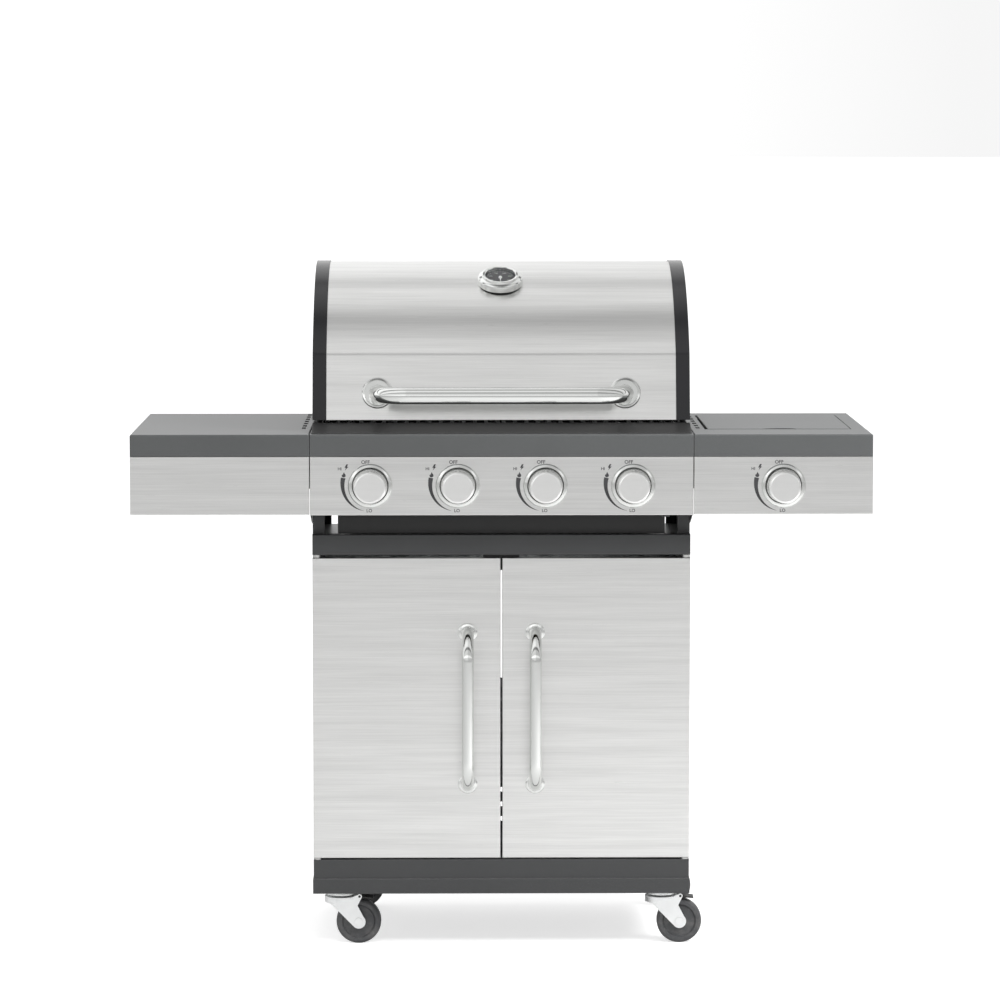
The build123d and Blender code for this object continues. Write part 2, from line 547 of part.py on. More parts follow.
def funnel(grow):
    """The tapering lower part of the firebox, larger by grow on every side."""
    depth = FIREBOX_BACK - FIREBOX_FRONT + 2 * grow
    top = Pos(0, FIREBOX_MIDDLE, FIREBOX_SHOULDER) * Rectangle(2 * (FIREBOX_HALF + grow), depth)
    mouth = Rectangle(2 * (FUNNEL_HALF + grow), depth - 2 * FUNNEL_INSET)
    bottom = Pos(0, FIREBOX_MIDDLE, FUNNEL_BOTTOM) * mouth
    return loft([bottom, top])


def firebox_ledge():
    """Sloping front sheet that closes the space between the control box and the lid."""
    back = FIREBOX_FRONT + SHEET
    outline = [(LEDGE_FRONT, LEDGE_LOW), (LEDGE_BACK, LEDGE_HIGH), (back, LEDGE_HIGH),
               (back, LEDGE_HIGH - SHEET), (LEDGE_BACK, LEDGE_HIGH - SHEET),
               (LEDGE_FRONT + SHEET, LEDGE_LOW - SHEET),
               (LEDGE_FRONT + SHEET, LEDGE_LOW - LEDGE_LIP), (LEDGE_FRONT, LEDGE_LOW - LEDGE_LIP)]
    return side_prism(outline, -LEDGE_HALF, LEDGE_HALF)


def firebox():
    """Enamelled cook box: straight walls, a funnel with a drain opening, rim, shelves, pegs and ledge."""
    x, y0, y1 = FIREBOX_HALF, FIREBOX_FRONT, FIREBOX_BACK
    outer = block(-x, x, y0, y1, FIREBOX_SHOULDER, RIM_TOP) + funnel(0)
    inner = block(-x + SHEET, x - SHEET, y0 + SHEET, y1 - SHEET, FIREBOX_SHOULDER, RIM_TOP + CUT)
    inner += funnel(-SHEET) & block(-x, x, y0, y1, FUNNEL_BOTTOM + SHEET, FIREBOX_SHOULDER + CUT)
    box = outer - inner
    box -= block(-DRAIN_HALF, DRAIN_HALF, FIREBOX_MIDDLE - DRAIN_HALF, FIREBOX_MIDDLE + DRAIN_HALF,
                 FUNNEL_BOTTOM - CUT, FUNNEL_BOTTOM + SHEET + CUT)
    for side in (-1, 1):
        box += block(side * (x - SHEET), side * (x + RIM_OUT), y0, y1, RIM_TOP - SHEET, RIM_TOP)
        box += block(side * (x - SHEET), side * HALF_CABINET, STILE_Y, y1, SIDE_TOP, SIDE_TOP + SHEET)
    shelf_top = GRATE_TOP - GRATE_THICKNESS
    peg_top = TAMER_EAVE - SHEET
    for wall, inward in ((y0 + SHEET, 1), (y1 - SHEET, -1)):
        root = wall - inward * SHEET / 2
        box += block(-x + SHEET, x - SHEET, root, wall + inward * SHELF_WIDTH, shelf_top - SHEET, shelf_top)
        for bx in BURNER_X:
            for px in (bx - TAMER_HALF, bx + TAMER_HALF - PEG):
                box += block(px, px + PEG, root, wall + inward * PEG, peg_top - PEG / 2, peg_top)
    for bx in BURNER_X:
        box -= rod_y(bx, y0 - CUT, y0 + SHEET + CUT, BURNER_Z, BURNER_RADIUS + RUNNING)
    return box + firebox_ledge()


def heat_shield():
    """Plate in front of the funnel that keeps heat off the control panel, with folded side edges."""
    x, y = SHIELD_HALF, SHIELD_Y
    z0, z1 = SHIELD_BOTTOM, FIREBOX_SHOULDER - 2.0
    plate = block(-x, x, y, y + SHEET, z0, z1)
    for side in (-1, 1):
        plate += block(side * x, side * (x - SHEET), y, y + SHIELD_FOLD, z0, z1 - SHIELD_NOTCH)
    return plate + block(-x, x, y, FIREBOX_FRONT, z1 - SHEET, z1)


piece("firebox", firebox())
piece("heat_shield", heat_shield())

# ------------------------------------------------------------------------------------ control panel
BAND_FLANGE = 18.0
PANEL_FOLD = 16.0
FASCIA_ROUND = 1.5
BAND_ROUND = 3.0
CHEEK_TOE = 40.0
CHEEK_DROP = 22.0            # how far the cheeks hang below the fascia at the back
SPINDLE_RADIUS = 4.0
SPINDLE_HOLE = 7.0
PUSH_TRAVEL = 4.0
BEZEL_RADIUS = 36.5
BEZEL_FLOOR = 2.0
VALVE_FRONT = PANEL_Y + 8.0 + PUSH_TRAVEL   # leaves room for the spindle's collar and its travel
VALVE_BACK = PANEL_Y + 44.0
VALVE_RADIUS = 10.0
MANIFOLD_RADIUS = 9.0
MANIFOLD_Y = VALVE_BACK - 10.0
MANIFOLD_Z = KNOB_Z - VALVE_RADIUS - MANIFOLD_RADIUS + 1.0
INLET_RADIUS = 7.0
INLET_BORE = 4.0
INLET_LENGTH = 25.0
INLET_COLLAR = 10.0         # collar that stops the hose
INLET_COLLAR_DROP = 2.0
PIPE_WALL = 2.0
FEED_RADIUS = 4.0
FEED_HOLE = FEED_RADIUS + 1.5
FEED_Z = KNOB_Z + 26.0


def control_panel():
    """Brushed stainless fascia with folded edges and a hole for each burner's spindle."""
    x, y, top = HALF_BODY, PANEL_Y, CONTROL_TOP - GAP
    panel = block(-x, x, y, y + PANEL_FOLD, CONTROL_BOTTOM, top)
    panel = fillet(panel.edges().group_by(Axis.Y)[0], FASCIA_ROUND)
    panel -= block(-x + SKIN, x - SKIN, y + SKIN, y + PANEL_FOLD + CUT, CONTROL_BOTTOM + SKIN, top - SKIN)
    for kx in BURNER_X:
        panel -= rod_y(kx, y - CUT, y + SKIN + CUT, KNOB_Z, SPINDLE_HOLE)
    return panel


def control_band():
    """Painted band above the fascia: front, top fold, and cheeks that reach back to the cabinet."""
    x, y = HALF_BODY, PANEL_Y
    bar = block(-x, x, y, y + BAND_FLANGE, CONTROL_TOP, TABLE_TOP)
    bar = fillet(bar.edges().filter_by(Axis.X).group_by(Axis.Y)[0].group_by(Axis.Z)[-1], BAND_ROUND)
    bar -= block(-x - CUT, x + CUT, y + SHEET, y + BAND_FLANGE + CUT, CONTROL_TOP - CUT, TABLE_TOP - SHEET)
    behind_panel = y + PANEL_FOLD + GAP
    fold_back = y + BAND_FLANGE - CUT
    outline = [(y + SHEET, CONTROL_TOP), (behind_panel, CONTROL_TOP - GAP), (behind_panel, CONTROL_BOTTOM),
               (CHEEK_BACK - CHEEK_TOE, CONTROL_BOTTOM - CHEEK_DROP / 2),
               (CHEEK_BACK, CONTROL_BOTTOM - CHEEK_DROP),
               (CHEEK_BACK, TABLE_TOP), (fold_back, TABLE_TOP), (fold_back, TABLE_TOP - SHEET),
               (y + SHEET, TABLE_TOP - SHEET)]
    for side in (-1, 1):
        cheek = side_prism(outline, side * x, side * (x - SHEET))
        for z in CHEEK_BOLT_Z:
            cheek -= rod_x(side * (x - SHEET - CUT), side * (x + CUT), CHEEK_BOLT_Y, z, BOLT_HOLE)
        bar += cheek
    return bar - rod_x(x - SHEET - CUT, x + CUT, MANIFOLD_Y, FEED_Z, FEED_HOLE)


def bezel(x):
    """Dished chrome ring behind a knob."""
    r = BEZEL_RADIUS
    ring = turned([(SPINDLE_HOLE, 0), (r, 0), (r, 1.6), (r - 2, 4.0), (r - 5, 4.8), (r - 7, 4.2),
                   (r - 7.9, BEZEL_FLOOR), (SPINDLE_HOLE, BEZEL_FLOOR)])
    return facing_front(ring, x, PANEL_Y, KNOB_Z)


KNOB_RADIUS = 27.0
KNOB_BACK = 8.0             # behind the knob, in front of the panel
KNOB_WALL = 4.0
KNOB_HEM = 0.8              # the knob's back edge is this much wider
KNOB_BORE_DEPTH = 16.0
KNOB_FLOOR = KNOB_BACK + KNOB_BORE_DEPTH / 2
SPINDLE_FRONT = KNOB_BACK + 12.0
SPINDLE_BACK = 24.0
COLLAR_FRONT = 5.0
COLLAR_LENGTH = 2.0
POINTER_HALF = 0.8
POINTER_LENGTH = 3.2


def knob(x):
    """Heavy round knob with a bored hub, a turned face and a small pointer groove at its top."""
    r = KNOB_RADIUS
    hem = r + KNOB_HEM
    body = turned([(0, KNOB_FLOOR), (r - KNOB_WALL, KNOB_FLOOR), (r - KNOB_WALL, KNOB_BACK), (hem, KNOB_BACK),
                   (hem, KNOB_BACK + 3), (r, KNOB_BACK + 4), (r - 0.8, KNOB_REACH - 2.2),
                   (r - 2.6, KNOB_REACH - 0.4), (r - 4, KNOB_REACH), (0, KNOB_REACH)])
    middle = KNOB_BACK + KNOB_BORE_DEPTH / 2
    body += Pos(0, 0, middle) * Cylinder(2 * SPINDLE_RADIUS, KNOB_BORE_DEPTH)
    body -= Pos(0, 0, middle - CUT) * Cylinder(SPINDLE_RADIUS + RUNNING, KNOB_BORE_DEPTH)
    groove = block(-POINTER_HALF, POINTER_HALF, r - POINTER_LENGTH, r + CUT, KNOB_FLOOR, KNOB_REACH + CUT)
    return facing_front(body - groove, x, PANEL_Y, KNOB_Z)


def spindle(x):
    """Valve spindle: the knob turns on it, and it slides into the valve when the knob is pushed."""
    rod = rod_y(x, PANEL_Y - SPINDLE_FRONT, PANEL_Y + SPINDLE_BACK, KNOB_Z, SPINDLE_RADIUS)
    collar_y = PANEL_Y + COLLAR_FRONT
    collar = rod_y(x, collar_y, collar_y + COLLAR_LENGTH, KNOB_Z, SPINDLE_RADIUS + 2)
    return rod + collar


piece("control_panel", control_panel())
piece("control_band", control_band())
piece("knob_bezels", group([bezel(x) for x in KNOB_X]))
KNOB_NAMES = ["1", "2", "3", "4", "side"]
for label, kx in zip(KNOB_NAMES, KNOB_X):
    piece(f"knob_{label}", knob(kx))
    piece(f"spindle_{label}", spindle(kx))

# ------------------------------------------------------------------------------- gas train, burners
VALVE_HALF = 9.0
NOZZLE_RADIUS = 4.5
NOZZLE_LENGTH = 12.0
NOZZLE_RISE = 10.0


def valve(x):
    """Brass valve body with a blind bore for the spindle and a nozzle that points at the burner."""
    body = rod_y(x, VALVE_FRONT, VALVE_BACK, KNOB_Z, VALVE_RADIUS)
    body += block(x - VALVE_HALF, x + VALVE_HALF, VALVE_BACK - 2 * VALVE_RADIUS, VALVE_BACK,
                  KNOB_Z - 0.6 * VALVE_RADIUS, KNOB_Z + 1.6 * VALVE_RADIUS)
    body += rod_y(x, VALVE_BACK - CUT, VALVE_BACK + NOZZLE_LENGTH, KNOB_Z + NOZZLE_RISE, NOZZLE_RADIUS)
    bore_end = PANEL_Y + SPINDLE_BACK + PUSH_TRAVEL + CUT
    body -= rod_y(x, VALVE_FRONT - CUT, bore_end, KNOB_Z, SPINDLE_RADIUS + RUNNING)
    return body - rod_x(x - 2 * VALVE_RADIUS, x + 2 * VALVE_RADIUS, MANIFOLD_Y, MANIFOLD_Z, MANIFOLD_RADIUS)


PIPE_START = BURNER_X[0] - 40.0
PIPE_END = HALF_CABINET - 30.0
INLET_X = PIPE_END - 12.0
COLLAR_LOW = MANIFOLD_Z - MANIFOLD_RADIUS - INLET_COLLAR_DROP
INLET_LOW = COLLAR_LOW - INLET_LENGTH
FEED_START_X = PIPE_END - 20.0
FEED_END_X = KNOB_X[-1] - 26.0
FEED_BEND = 9.0
TAIL_OVERLAP = 5.0          # the side burner's pipe starts this far inside the end of its feed
TAIL_PAST_KNOB = 14.0


def gas_manifold():
    """Gas pipe behind the control panel, with a hose inlet at the right and the side burner's feed."""
    y, z = MANIFOLD_Y, MANIFOLD_Z
    pipe = rod_x(PIPE_START, PIPE_END, y, z, MANIFOLD_RADIUS)
    pipe += rod_z(INLET_X, y, COLLAR_LOW, z, INLET_COLLAR)
    pipe += rod_z(INLET_X, y, INLET_LOW, COLLAR_LOW, INLET_RADIUS)
    pipe -= rod_x(PIPE_START + PIPE_WALL, PIPE_END - PIPE_WALL, y, z, MANIFOLD_RADIUS - PIPE_WALL)
    pipe -= rod_z(INLET_X, y, INLET_LOW - CUT, z, INLET_BORE)
    start = (FEED_START_X, y, z + MANIFOLD_RADIUS - CUT)
    route = FilletPolyline(start, (FEED_START_X, y, FEED_Z), (FEED_END_X, y, FEED_Z), (FEED_END_X, y, z),
                           (FEED_END_X + 4 * TAIL_OVERLAP, y, z), radius=FEED_BEND)
    feed = sweep(Plane(origin=start, z_dir=(0, 0, 1)) * Circle(FEED_RADIUS), path=route)
    tail = rod_x(FEED_END_X + 3 * TAIL_OVERLAP, KNOB_X[-1] + TAIL_PAST_KNOB, y, z, MANIFOLD_RADIUS)
    return pipe + feed + tail


PORT_COUNT = 12
PORT_RADIUS = 1.6
PORT_RISE = 5.0
PORT_FROM_FRONT = 60.0
PORT_FROM_BACK = 30.0
FOOT_HALF = 12.0


def main_burner(x):
    """Stainless tube burner with rows of flame ports and an open mixing end in front of its valve."""
    tube = rod_y(x, BURNER_FRONT, BURNER_BACK, BURNER_Z, BURNER_RADIUS)
    tube -= rod_y(x, BURNER_FRONT - CUT, BURNER_BACK - BURNER_WALL, BURNER_Z, BURNER_RADIUS - BURNER_WALL)
    step = (BURNER_BACK - BURNER_FRONT - PORT_FROM_FRONT - PORT_FROM_BACK) / (PORT_COUNT - 1)
    reach = 2 * BURNER_RADIUS
    for i in range(PORT_COUNT):
        port_y = BURNER_FRONT + PORT_FROM_FRONT + i * step
        tube -= rod_x(x - reach, x + reach, port_y, BURNER_Z + PORT_RISE, PORT_RADIUS)
    foot = block(x - FOOT_HALF, x + FOOT_HALF, BURNER_BACK - 2 * BURNER_WALL, FIREBOX_BACK - SHEET,
                 BURNER_Z - BURNER_WALL, BURNER_Z + BURNER_WALL)
    return tube + foot


TAMER_RIDGE = GRATE_TOP - GRATE_THICKNESS - 8.0
TAMER_SHEET = 1.2
TAMER_END_GAP = 1.0
TAMER_HOLE = 5.0
TAMER_HOLE_FROM_END = 70.0


def flame_tamer(x):
    """Folded steel roof over a burner, resting on the pegs of the front and back walls."""
    low, high = TAMER_EAVE, TAMER_RIDGE
    under = TAMER_HALF - TAMER_SHEET
    outline = [(x - TAMER_HALF, low), (x, high), (x + TAMER_HALF, low), (x + under, low - TAMER_SHEET),
               (x, high - 1.4 * TAMER_SHEET), (x - under, low - TAMER_SHEET)]
    front, back = FIREBOX_FRONT + SHEET + TAMER_END_GAP, FIREBOX_BACK - SHEET - TAMER_END_GAP
    roof = front_prism(outline, front, back)
    for y in (front + TAMER_HOLE_FROM_END, back - TAMER_HOLE_FROM_END):
        for side in (-1, 1):
            roof -= rod_z(x + side * TAMER_HALF / 2, y, low - CUT, high + CUT, TAMER_HOLE)
    return roof


# --------------------------------------------------------------------------------- cooking surfaces
GRATE_BAR = 6.0
GRATE_BARS = 16
GRATE_GAP = 2.0             # between the two grates' halves of the firebox, and at their ends
GRATE_SIDE_GAP = 3.0
GRATE_WIDTH = FIREBOX_HALF - SHEET - GRATE_GAP - GRATE_SIDE_GAP
GRATE_PITCH = (GRATE_WIDTH - GRATE_BAR) / (GRATE_BARS - 1)
TIE_DROP = 4.0              # the cross ties lie below the bars' tops


def cooking_grate(side):
    """Cast iron grate for one half of the firebox: long bars tied by cross bars."""
    x0 = GRATE_GAP if side > 0 else -GRATE_GAP - GRATE_WIDTH
    x1 = x0 + GRATE_WIDTH
    y0, y1 = FIREBOX_FRONT + SHEET + GRATE_GAP / 2, FIREBOX_BACK - SHEET - GRATE_GAP / 2
    z0, z1 = GRATE_TOP - GRATE_THICKNESS, GRATE_TOP
    grate = block(x0, x1, y0, y0 + GRATE_BAR, z0, z1) + block(x0, x1, y1 - GRATE_BAR, y1, z0, z1)
    for share in (1 / 3, 2 / 3):
        y = y0 + (y1 - y0) * share
        grate += block(x0, x1, y - GRATE_BAR / 2, y + GRATE_BAR / 2, z0, z1 - TIE_DROP)
    for i in range(GRATE_BARS):
        x = x0 + i * GRATE_PITCH
        grate += block(x, x + GRATE_BAR, y0, y1, z0 + CUT, z1)
    return grate


RACK_Z = RIM_TOP + 82.0
RACK_HALF = FIREBOX_HALF - 14.0
RACK_FRONT = FIREBOX_BACK - 190.0
RACK_BACK = FIREBOX_BACK - 45.0
RACK_WIRES = 27
RACK_BAR = 5.0
RACK_WIRE_RADIUS = 1.8
RACK_FOOT = FIREBOX_HALF + 3.0
RACK_LEG_INSET = 10.0


def warming_rack():
    """Chromed rack on the firebox rim at the back: a square frame on legs, with round wires."""
    half, bar = RACK_HALF, RACK_BAR
    low, high = RACK_Z - bar / 2, RACK_Z + bar / 2
    frame = block(-half, half, RACK_FRONT, RACK_BACK, low, high)
    frame -= block(-half + bar, half - bar, RACK_FRONT + bar, RACK_BACK - bar, low - CUT, high + CUT)
    for side in (-1, 1):
        for y in (RACK_FRONT + RACK_LEG_INSET, RACK_BACK - RACK_LEG_INSET - bar):
            frame += block(side * half, side * (half - bar), y, y + bar, RIM_TOP, RACK_Z)
            frame += block(side * half, side * RACK_FOOT, y, y + bar, RIM_TOP, RIM_TOP + bar)
    for i in range(1, RACK_WIRES):
        x = -half + i * 2 * half / RACK_WIRES
        frame += rod_y(x, RACK_FRONT + bar / 2, RACK_BACK - bar / 2, RACK_Z, RACK_WIRE_RADIUS)
    return frame


piece("gas_valves", group([valve(x) for x in KNOB_X]))
piece("gas_manifold", gas_manifold())
piece("flame_tamers", group([flame_tamer(x) for x in BURNER_X]))
piece("cooking_grate_left", cooking_grate(-1))
piece("cooking_grate_right", cooking_grate(1))
piece("warming_rack", warming_rack())

# -------------------------------------------------------------------------------------- grease tray
GREASE_FRONT = STILE_Y + 58.0
GREASE_BACK = BACK_Y - 6.0
TRAY_CORNER = 8.0
PULL_HALF = 60.0
PULL_REACH = 22.0
PULL_TURN_DOWN = 10.0


def grease_tray():
    """Shallow pan under the funnel that pulls out at the back by its folded lip."""
    x, y0, y1 = TRAY_HALF, GREASE_FRONT, GREASE_BACK
    z0, z1 = TRAY_BOTTOM, TRAY_BOTTOM + TRAY_DEPTH
    pan = block(-x, x, y0, y1, z0, z1)
    pan = fillet(pan.edges().filter_by(Axis.Z), TRAY_CORNER)
    pan -= block(-x + SHEET, x - SHEET, y0 + SHEET, y1 - SHEET, z0 + SHEET, z1 + CUT)
    lip_end = y1 + PULL_REACH
    pan += block(-PULL_HALF, PULL_HALF, y1 - SHEET, lip_end, z1 - SHEET, z1)
    return pan + block(-PULL_HALF, PULL_HALF, lip_end - SHEET, lip_end, z1 - PULL_TURN_DOWN, z1)


piece("grease_tray", grease_tray())

# -------------------------------------------------------------------------------------- side tables
END_BOTTOM = CONTROL_BOTTOM + 1.0
TABLE_ROUND = 2.5
FRONT_FOLD = 2.5            # depth of the stainless fronts' folded edges
VENT_COUNT = 7
VENT_LENGTH = 29.0
VENT_WIDTH = 7.0
VENT_FROM_EDGE = 13.0       # inner edge of the table to the middle of its row of vents
VENT_FRONT = 125.0
VENT_BACK = 20.0
VENT_PITCH = (TABLE_DEPTH - VENT_FRONT - VENT_BACK - VENT_LENGTH) / (VENT_COUNT - 1)
INNER_FLANGE_LOW = SIDE_TOP - 40.0
INNER_FLANGE_BACK = 30.0    # full-height part of the inner flange at the back

COVER_LEFT = TABLE_INNER + 28.0
COVER_RIGHT = TABLE_OUTER - 27.0
COVER_FRONT = PANEL_Y + 109.0
COVER_BACK = BACK_Y - 54.0
COVER_LEFT_GAP = 4.5
COVER_RIGHT_GAP = 1.5
COVER_FRONT_GAP = 2.0
COVER_BACK_GAP = 5.0        # room for the back edge as the cover swings up
WELL_LEFT = COVER_LEFT - COVER_LEFT_GAP
WELL_RIGHT = COVER_RIGHT + COVER_RIGHT_GAP
WELL_FRONT = COVER_FRONT - COVER_FRONT_GAP
WELL_BACK = COVER_BACK + COVER_BACK_GAP
COVER_SKIRT = 8.0
COVER_PROUD = 0.6
COVER_ROUND = 1.5
COVER_PIVOT_Y = COVER_BACK - 6.0
COVER_PIVOT_Z = TABLE_TOP - 6.0
COVER_PIN = 2.5
SCOOP_HALF = 30.0
SCOOP_DEPTH = 14.0
WELL_FLANGE = 16.0          # deep enough for the cover's back edge to swing over the pan


def table_shell():
    """Right side table without openings: top, front band, full-height end and back, inner flange."""
    x0, x1, y0, y1 = TABLE_INNER, TABLE_OUTER, PANEL_Y, BACK_Y
    shell = block(x0, x1, y0, y1, END_BOTTOM, TABLE_TOP)
    tops = shell.edges().group_by(Axis.Z)[-1]
    uprights = shell.edges().filter_by(Axis.Z).group_by(Axis.X)[-1]
    shell = fillet(list(tops) + list(uprights), TABLE_ROUND)
    shell -= block(x0 + SHEET, x1 - SHEET, y0 + SHEET, y1 - SHEET, END_BOTTOM - CUT, TABLE_TOP - SHEET)
    shell -= block(x0 - CUT, x1 + CUT, y0 - CUT, y0 + FRONT_FOLD + GAP, END_BOTTOM - CUT, CONTROL_TOP)
    shell -= block(x0 - CUT, x0 + SHEET + CUT, y0 - CUT, y1 - INNER_FLANGE_BACK,
                   END_BOTTOM - CUT, INNER_FLANGE_LOW)
    vent_x = x0 + VENT_FROM_EDGE
    for i in range(VENT_COUNT):
        vent_y = y0 + VENT_FRONT + i * VENT_PITCH
        shell -= block(vent_x - VENT_WIDTH / 2, vent_x + VENT_WIDTH / 2, vent_y, vent_y + VENT_LENGTH,
                       TABLE_TOP - SHEET - CUT, TABLE_TOP + CUT)
    for y in TABLE_BOLT_Y:
        shell -= rod_x(x0 - CUT, x0 + SHEET + CUT, y, TABLE_BOLT_Z, BOLT_HOLE)
    return shell


def table_front(hole):
    """Right side table's brushed front with folded edges; hole makes the side burner's spindle hole."""
    x0, x1, y, top = TABLE_INNER, TABLE_OUTER, PANEL_Y, CONTROL_TOP - GAP
    front = block(x0, x1, y, y + FRONT_FOLD, END_BOTTOM, top)
    front = fillet(front.edges().group_by(Axis.Y)[0], FASCIA_ROUND)
    front -= block(x0 + SKIN, x1 - SKIN, y + SKIN, y + FRONT_FOLD + CUT, END_BOTTOM + SKIN, top - SKIN)
    if hole:
        front -= rod_y(KNOB_X[-1], y - CUT, y + SKIN + CUT, KNOB_Z, SPINDLE_HOLE)
    return front


def side_table_with_well():
    """Right side table with the side burner's opening and the fold round it."""
    shell = table_shell()
    shell -= rod_x(TABLE_INNER - CUT, TABLE_INNER + SHEET + CUT, MANIFOLD_Y, FEED_Z, FEED_HOLE)
    low = TABLE_TOP - WELL_FLANGE
    shell += block(WELL_LEFT - SHEET, WELL_RIGHT + SHEET, WELL_FRONT - SHEET, WELL_BACK + SHEET, low,
                   TABLE_TOP - SHEET / 2)
    shell -= block(WELL_LEFT, WELL_RIGHT, WELL_FRONT, WELL_BACK, low - CUT, TABLE_TOP + CUT)
    for x0 in (WELL_LEFT - SHEET - CUT, WELL_RIGHT - CUT):
        shell -= rod_x(x0, x0 + SHEET + 2 * CUT, COVER_PIVOT_Y, COVER_PIVOT_Z, COVER_PIN)
    return shell


def scoop(radius, z0, z1):
    """Upright cylinder through the front edge of the burner cover, centred on its finger notch."""
    notch_radius = (SCOOP_HALF ** 2 + SCOOP_DEPTH ** 2) / (2 * SCOOP_DEPTH)
    return rod_z(TABLE_MIDDLE, COVER_FRONT + SCOOP_DEPTH - notch_radius, z0, z1, notch_radius + radius)


def side_burner_cover():
    """Flush hinged cover of the side burner with turned-down edges and a finger notch at its front."""
    x0, x1, y0, y1 = COVER_LEFT, COVER_RIGHT, COVER_FRONT, COVER_BACK
    low, high = TABLE_TOP - COVER_SKIRT, TABLE_TOP + COVER_PROUD
    cover = block(x0, x1, y0, y1, low, high)
    cover = fillet(cover.edges().group_by(Axis.Z)[-1], COVER_ROUND)
    cover -= block(x0 + SHEET, x1 - SHEET, y0 + SHEET, y1 - SHEET, low - CUT, high - SHEET)
    notch = scoop(0, low - CUT, high + CUT)
    lip = (scoop(SHEET, low, high - SHEET / 2) - notch) & block(x0, x1, y0, y1, low, high)
    cover = cover - notch + lip
    for x in (x0 - CUT, x1 - SHEET - CUT):
        cover -= rod_x(x, x + SHEET + 2 * CUT, COVER_PIVOT_Y, COVER_PIVOT_Z, COVER_PIN + RUNNING)
    return cover


def cover_pins():
    """Short pins between the well's sides and the cover's skirt."""
    left = rod_x(WELL_LEFT - 2 * SHEET, COVER_LEFT + 2 * SHEET, COVER_PIVOT_Y, COVER_PIVOT_Z, COVER_PIN)
    right = rod_x(COVER_RIGHT - 2 * SHEET, WELL_RIGHT + 2 * SHEET, COVER_PIVOT_Y, COVER_PIVOT_Z, COVER_PIN)
    return [left, right]


piece("left_table_top", mirrored(table_shell()))
piece("left_table_front", mirrored(table_front(False)))
piece("right_table_top", side_table_with_well())
piece("right_table_front", table_front(True))
piece("side_burner_cover", side_burner_cover())

WELL_TOP = TABLE_TOP - WELL_FLANGE
WELL_BOTTOM = WELL_TOP - 48.0
WELL_RIM = 6.0
BOWL_INSET = 4.0            # pan walls inside the cover's edges
BOWL_BACK_INSET = 14.0
BOWL_CORNER = 18.0
THROAT_HOLE = 22.0
SIDE_BURNER_Y = (COVER_FRONT + COVER_BACK) / 2
SIDE_GRATE_TOP = TABLE_TOP - COVER_SKIRT - 2.0
SIDE_GRATE_INSET = 8.0
SIDE_GRATE_DEPTH = 8.0
SIDE_GRATE_CORNER = 16.0
FINGER_INNER = 18.0
FOOT_Y = 70.0


def side_burner_bowl():
    """Drip pan hung under the table's opening, with a hole for the burner's throat."""
    x0, x1 = COVER_LEFT + BOWL_INSET, COVER_RIGHT - BOWL_INSET
    y0, y1 = COVER_FRONT + BOWL_INSET, COVER_BACK - BOWL_BACK_INSET
    bowl = block(x0, x1, y0, y1, WELL_BOTTOM, WELL_TOP)
    bowl = fillet(bowl.edges().filter_by(Axis.Z), BOWL_CORNER)
    inside = block(x0 + SHEET, x1 - SHEET, y0 + SHEET, y1 - SHEET, WELL_BOTTOM + SHEET, WELL_TOP + CUT)
    inside = fillet(inside.edges().filter_by(Axis.Z), BOWL_CORNER - SHEET)
    rim = block(WELL_LEFT - WELL_RIM, WELL_RIGHT + WELL_RIM, WELL_FRONT - WELL_RIM, WELL_BACK + WELL_RIM,
                WELL_TOP - SHEET, WELL_TOP)
    hole = rod_z(TABLE_MIDDLE, SIDE_BURNER_Y, WELL_BOTTOM - CUT, WELL_BOTTOM + SHEET + CUT, THROAT_HOLE)
    return (bowl + rim) - inside - hole


HEAD_RADIUS = 36.0
CROWN_SLOTS = 18
CROWN_SLOT_Z = 19.0
CROWN_SLOT_WIDTH = 2.2
CROWN_LIFT = 3.0            # gap between the pan's floor and the burner's base
THROAT_RADIUS = 12.0
THROAT_WALL = 2.0
THROAT_LENGTH = 30.0


def side_burner_head():
    """Round cast burner with a slotted crown, a cap and a throat that drops through the pan."""
    r = HEAD_RADIUS
    head = turned([(0, 0), (r - 16, 0), (r - 16, 8), (r - 2, 12), (r, 18), (r, 22), (r - 6, 24), (0, 26)])
    slot = Pos(r - 3, 0, CROWN_SLOT_Z) * Box(10, CROWN_SLOT_WIDTH, 4)
    for i in range(CROWN_SLOTS):
        head -= Rot(0, 0, i * 360 / CROWN_SLOTS) * slot
    throat = Cylinder(THROAT_RADIUS, THROAT_LENGTH)
    throat -= Cylinder(THROAT_RADIUS - THROAT_WALL, THROAT_LENGTH + CUT)
    head += Pos(0, 0, CUT - THROAT_LENGTH / 2) * throat
    return Pos(TABLE_MIDDLE, SIDE_BURNER_Y, WELL_BOTTOM + CROWN_LIFT) * head


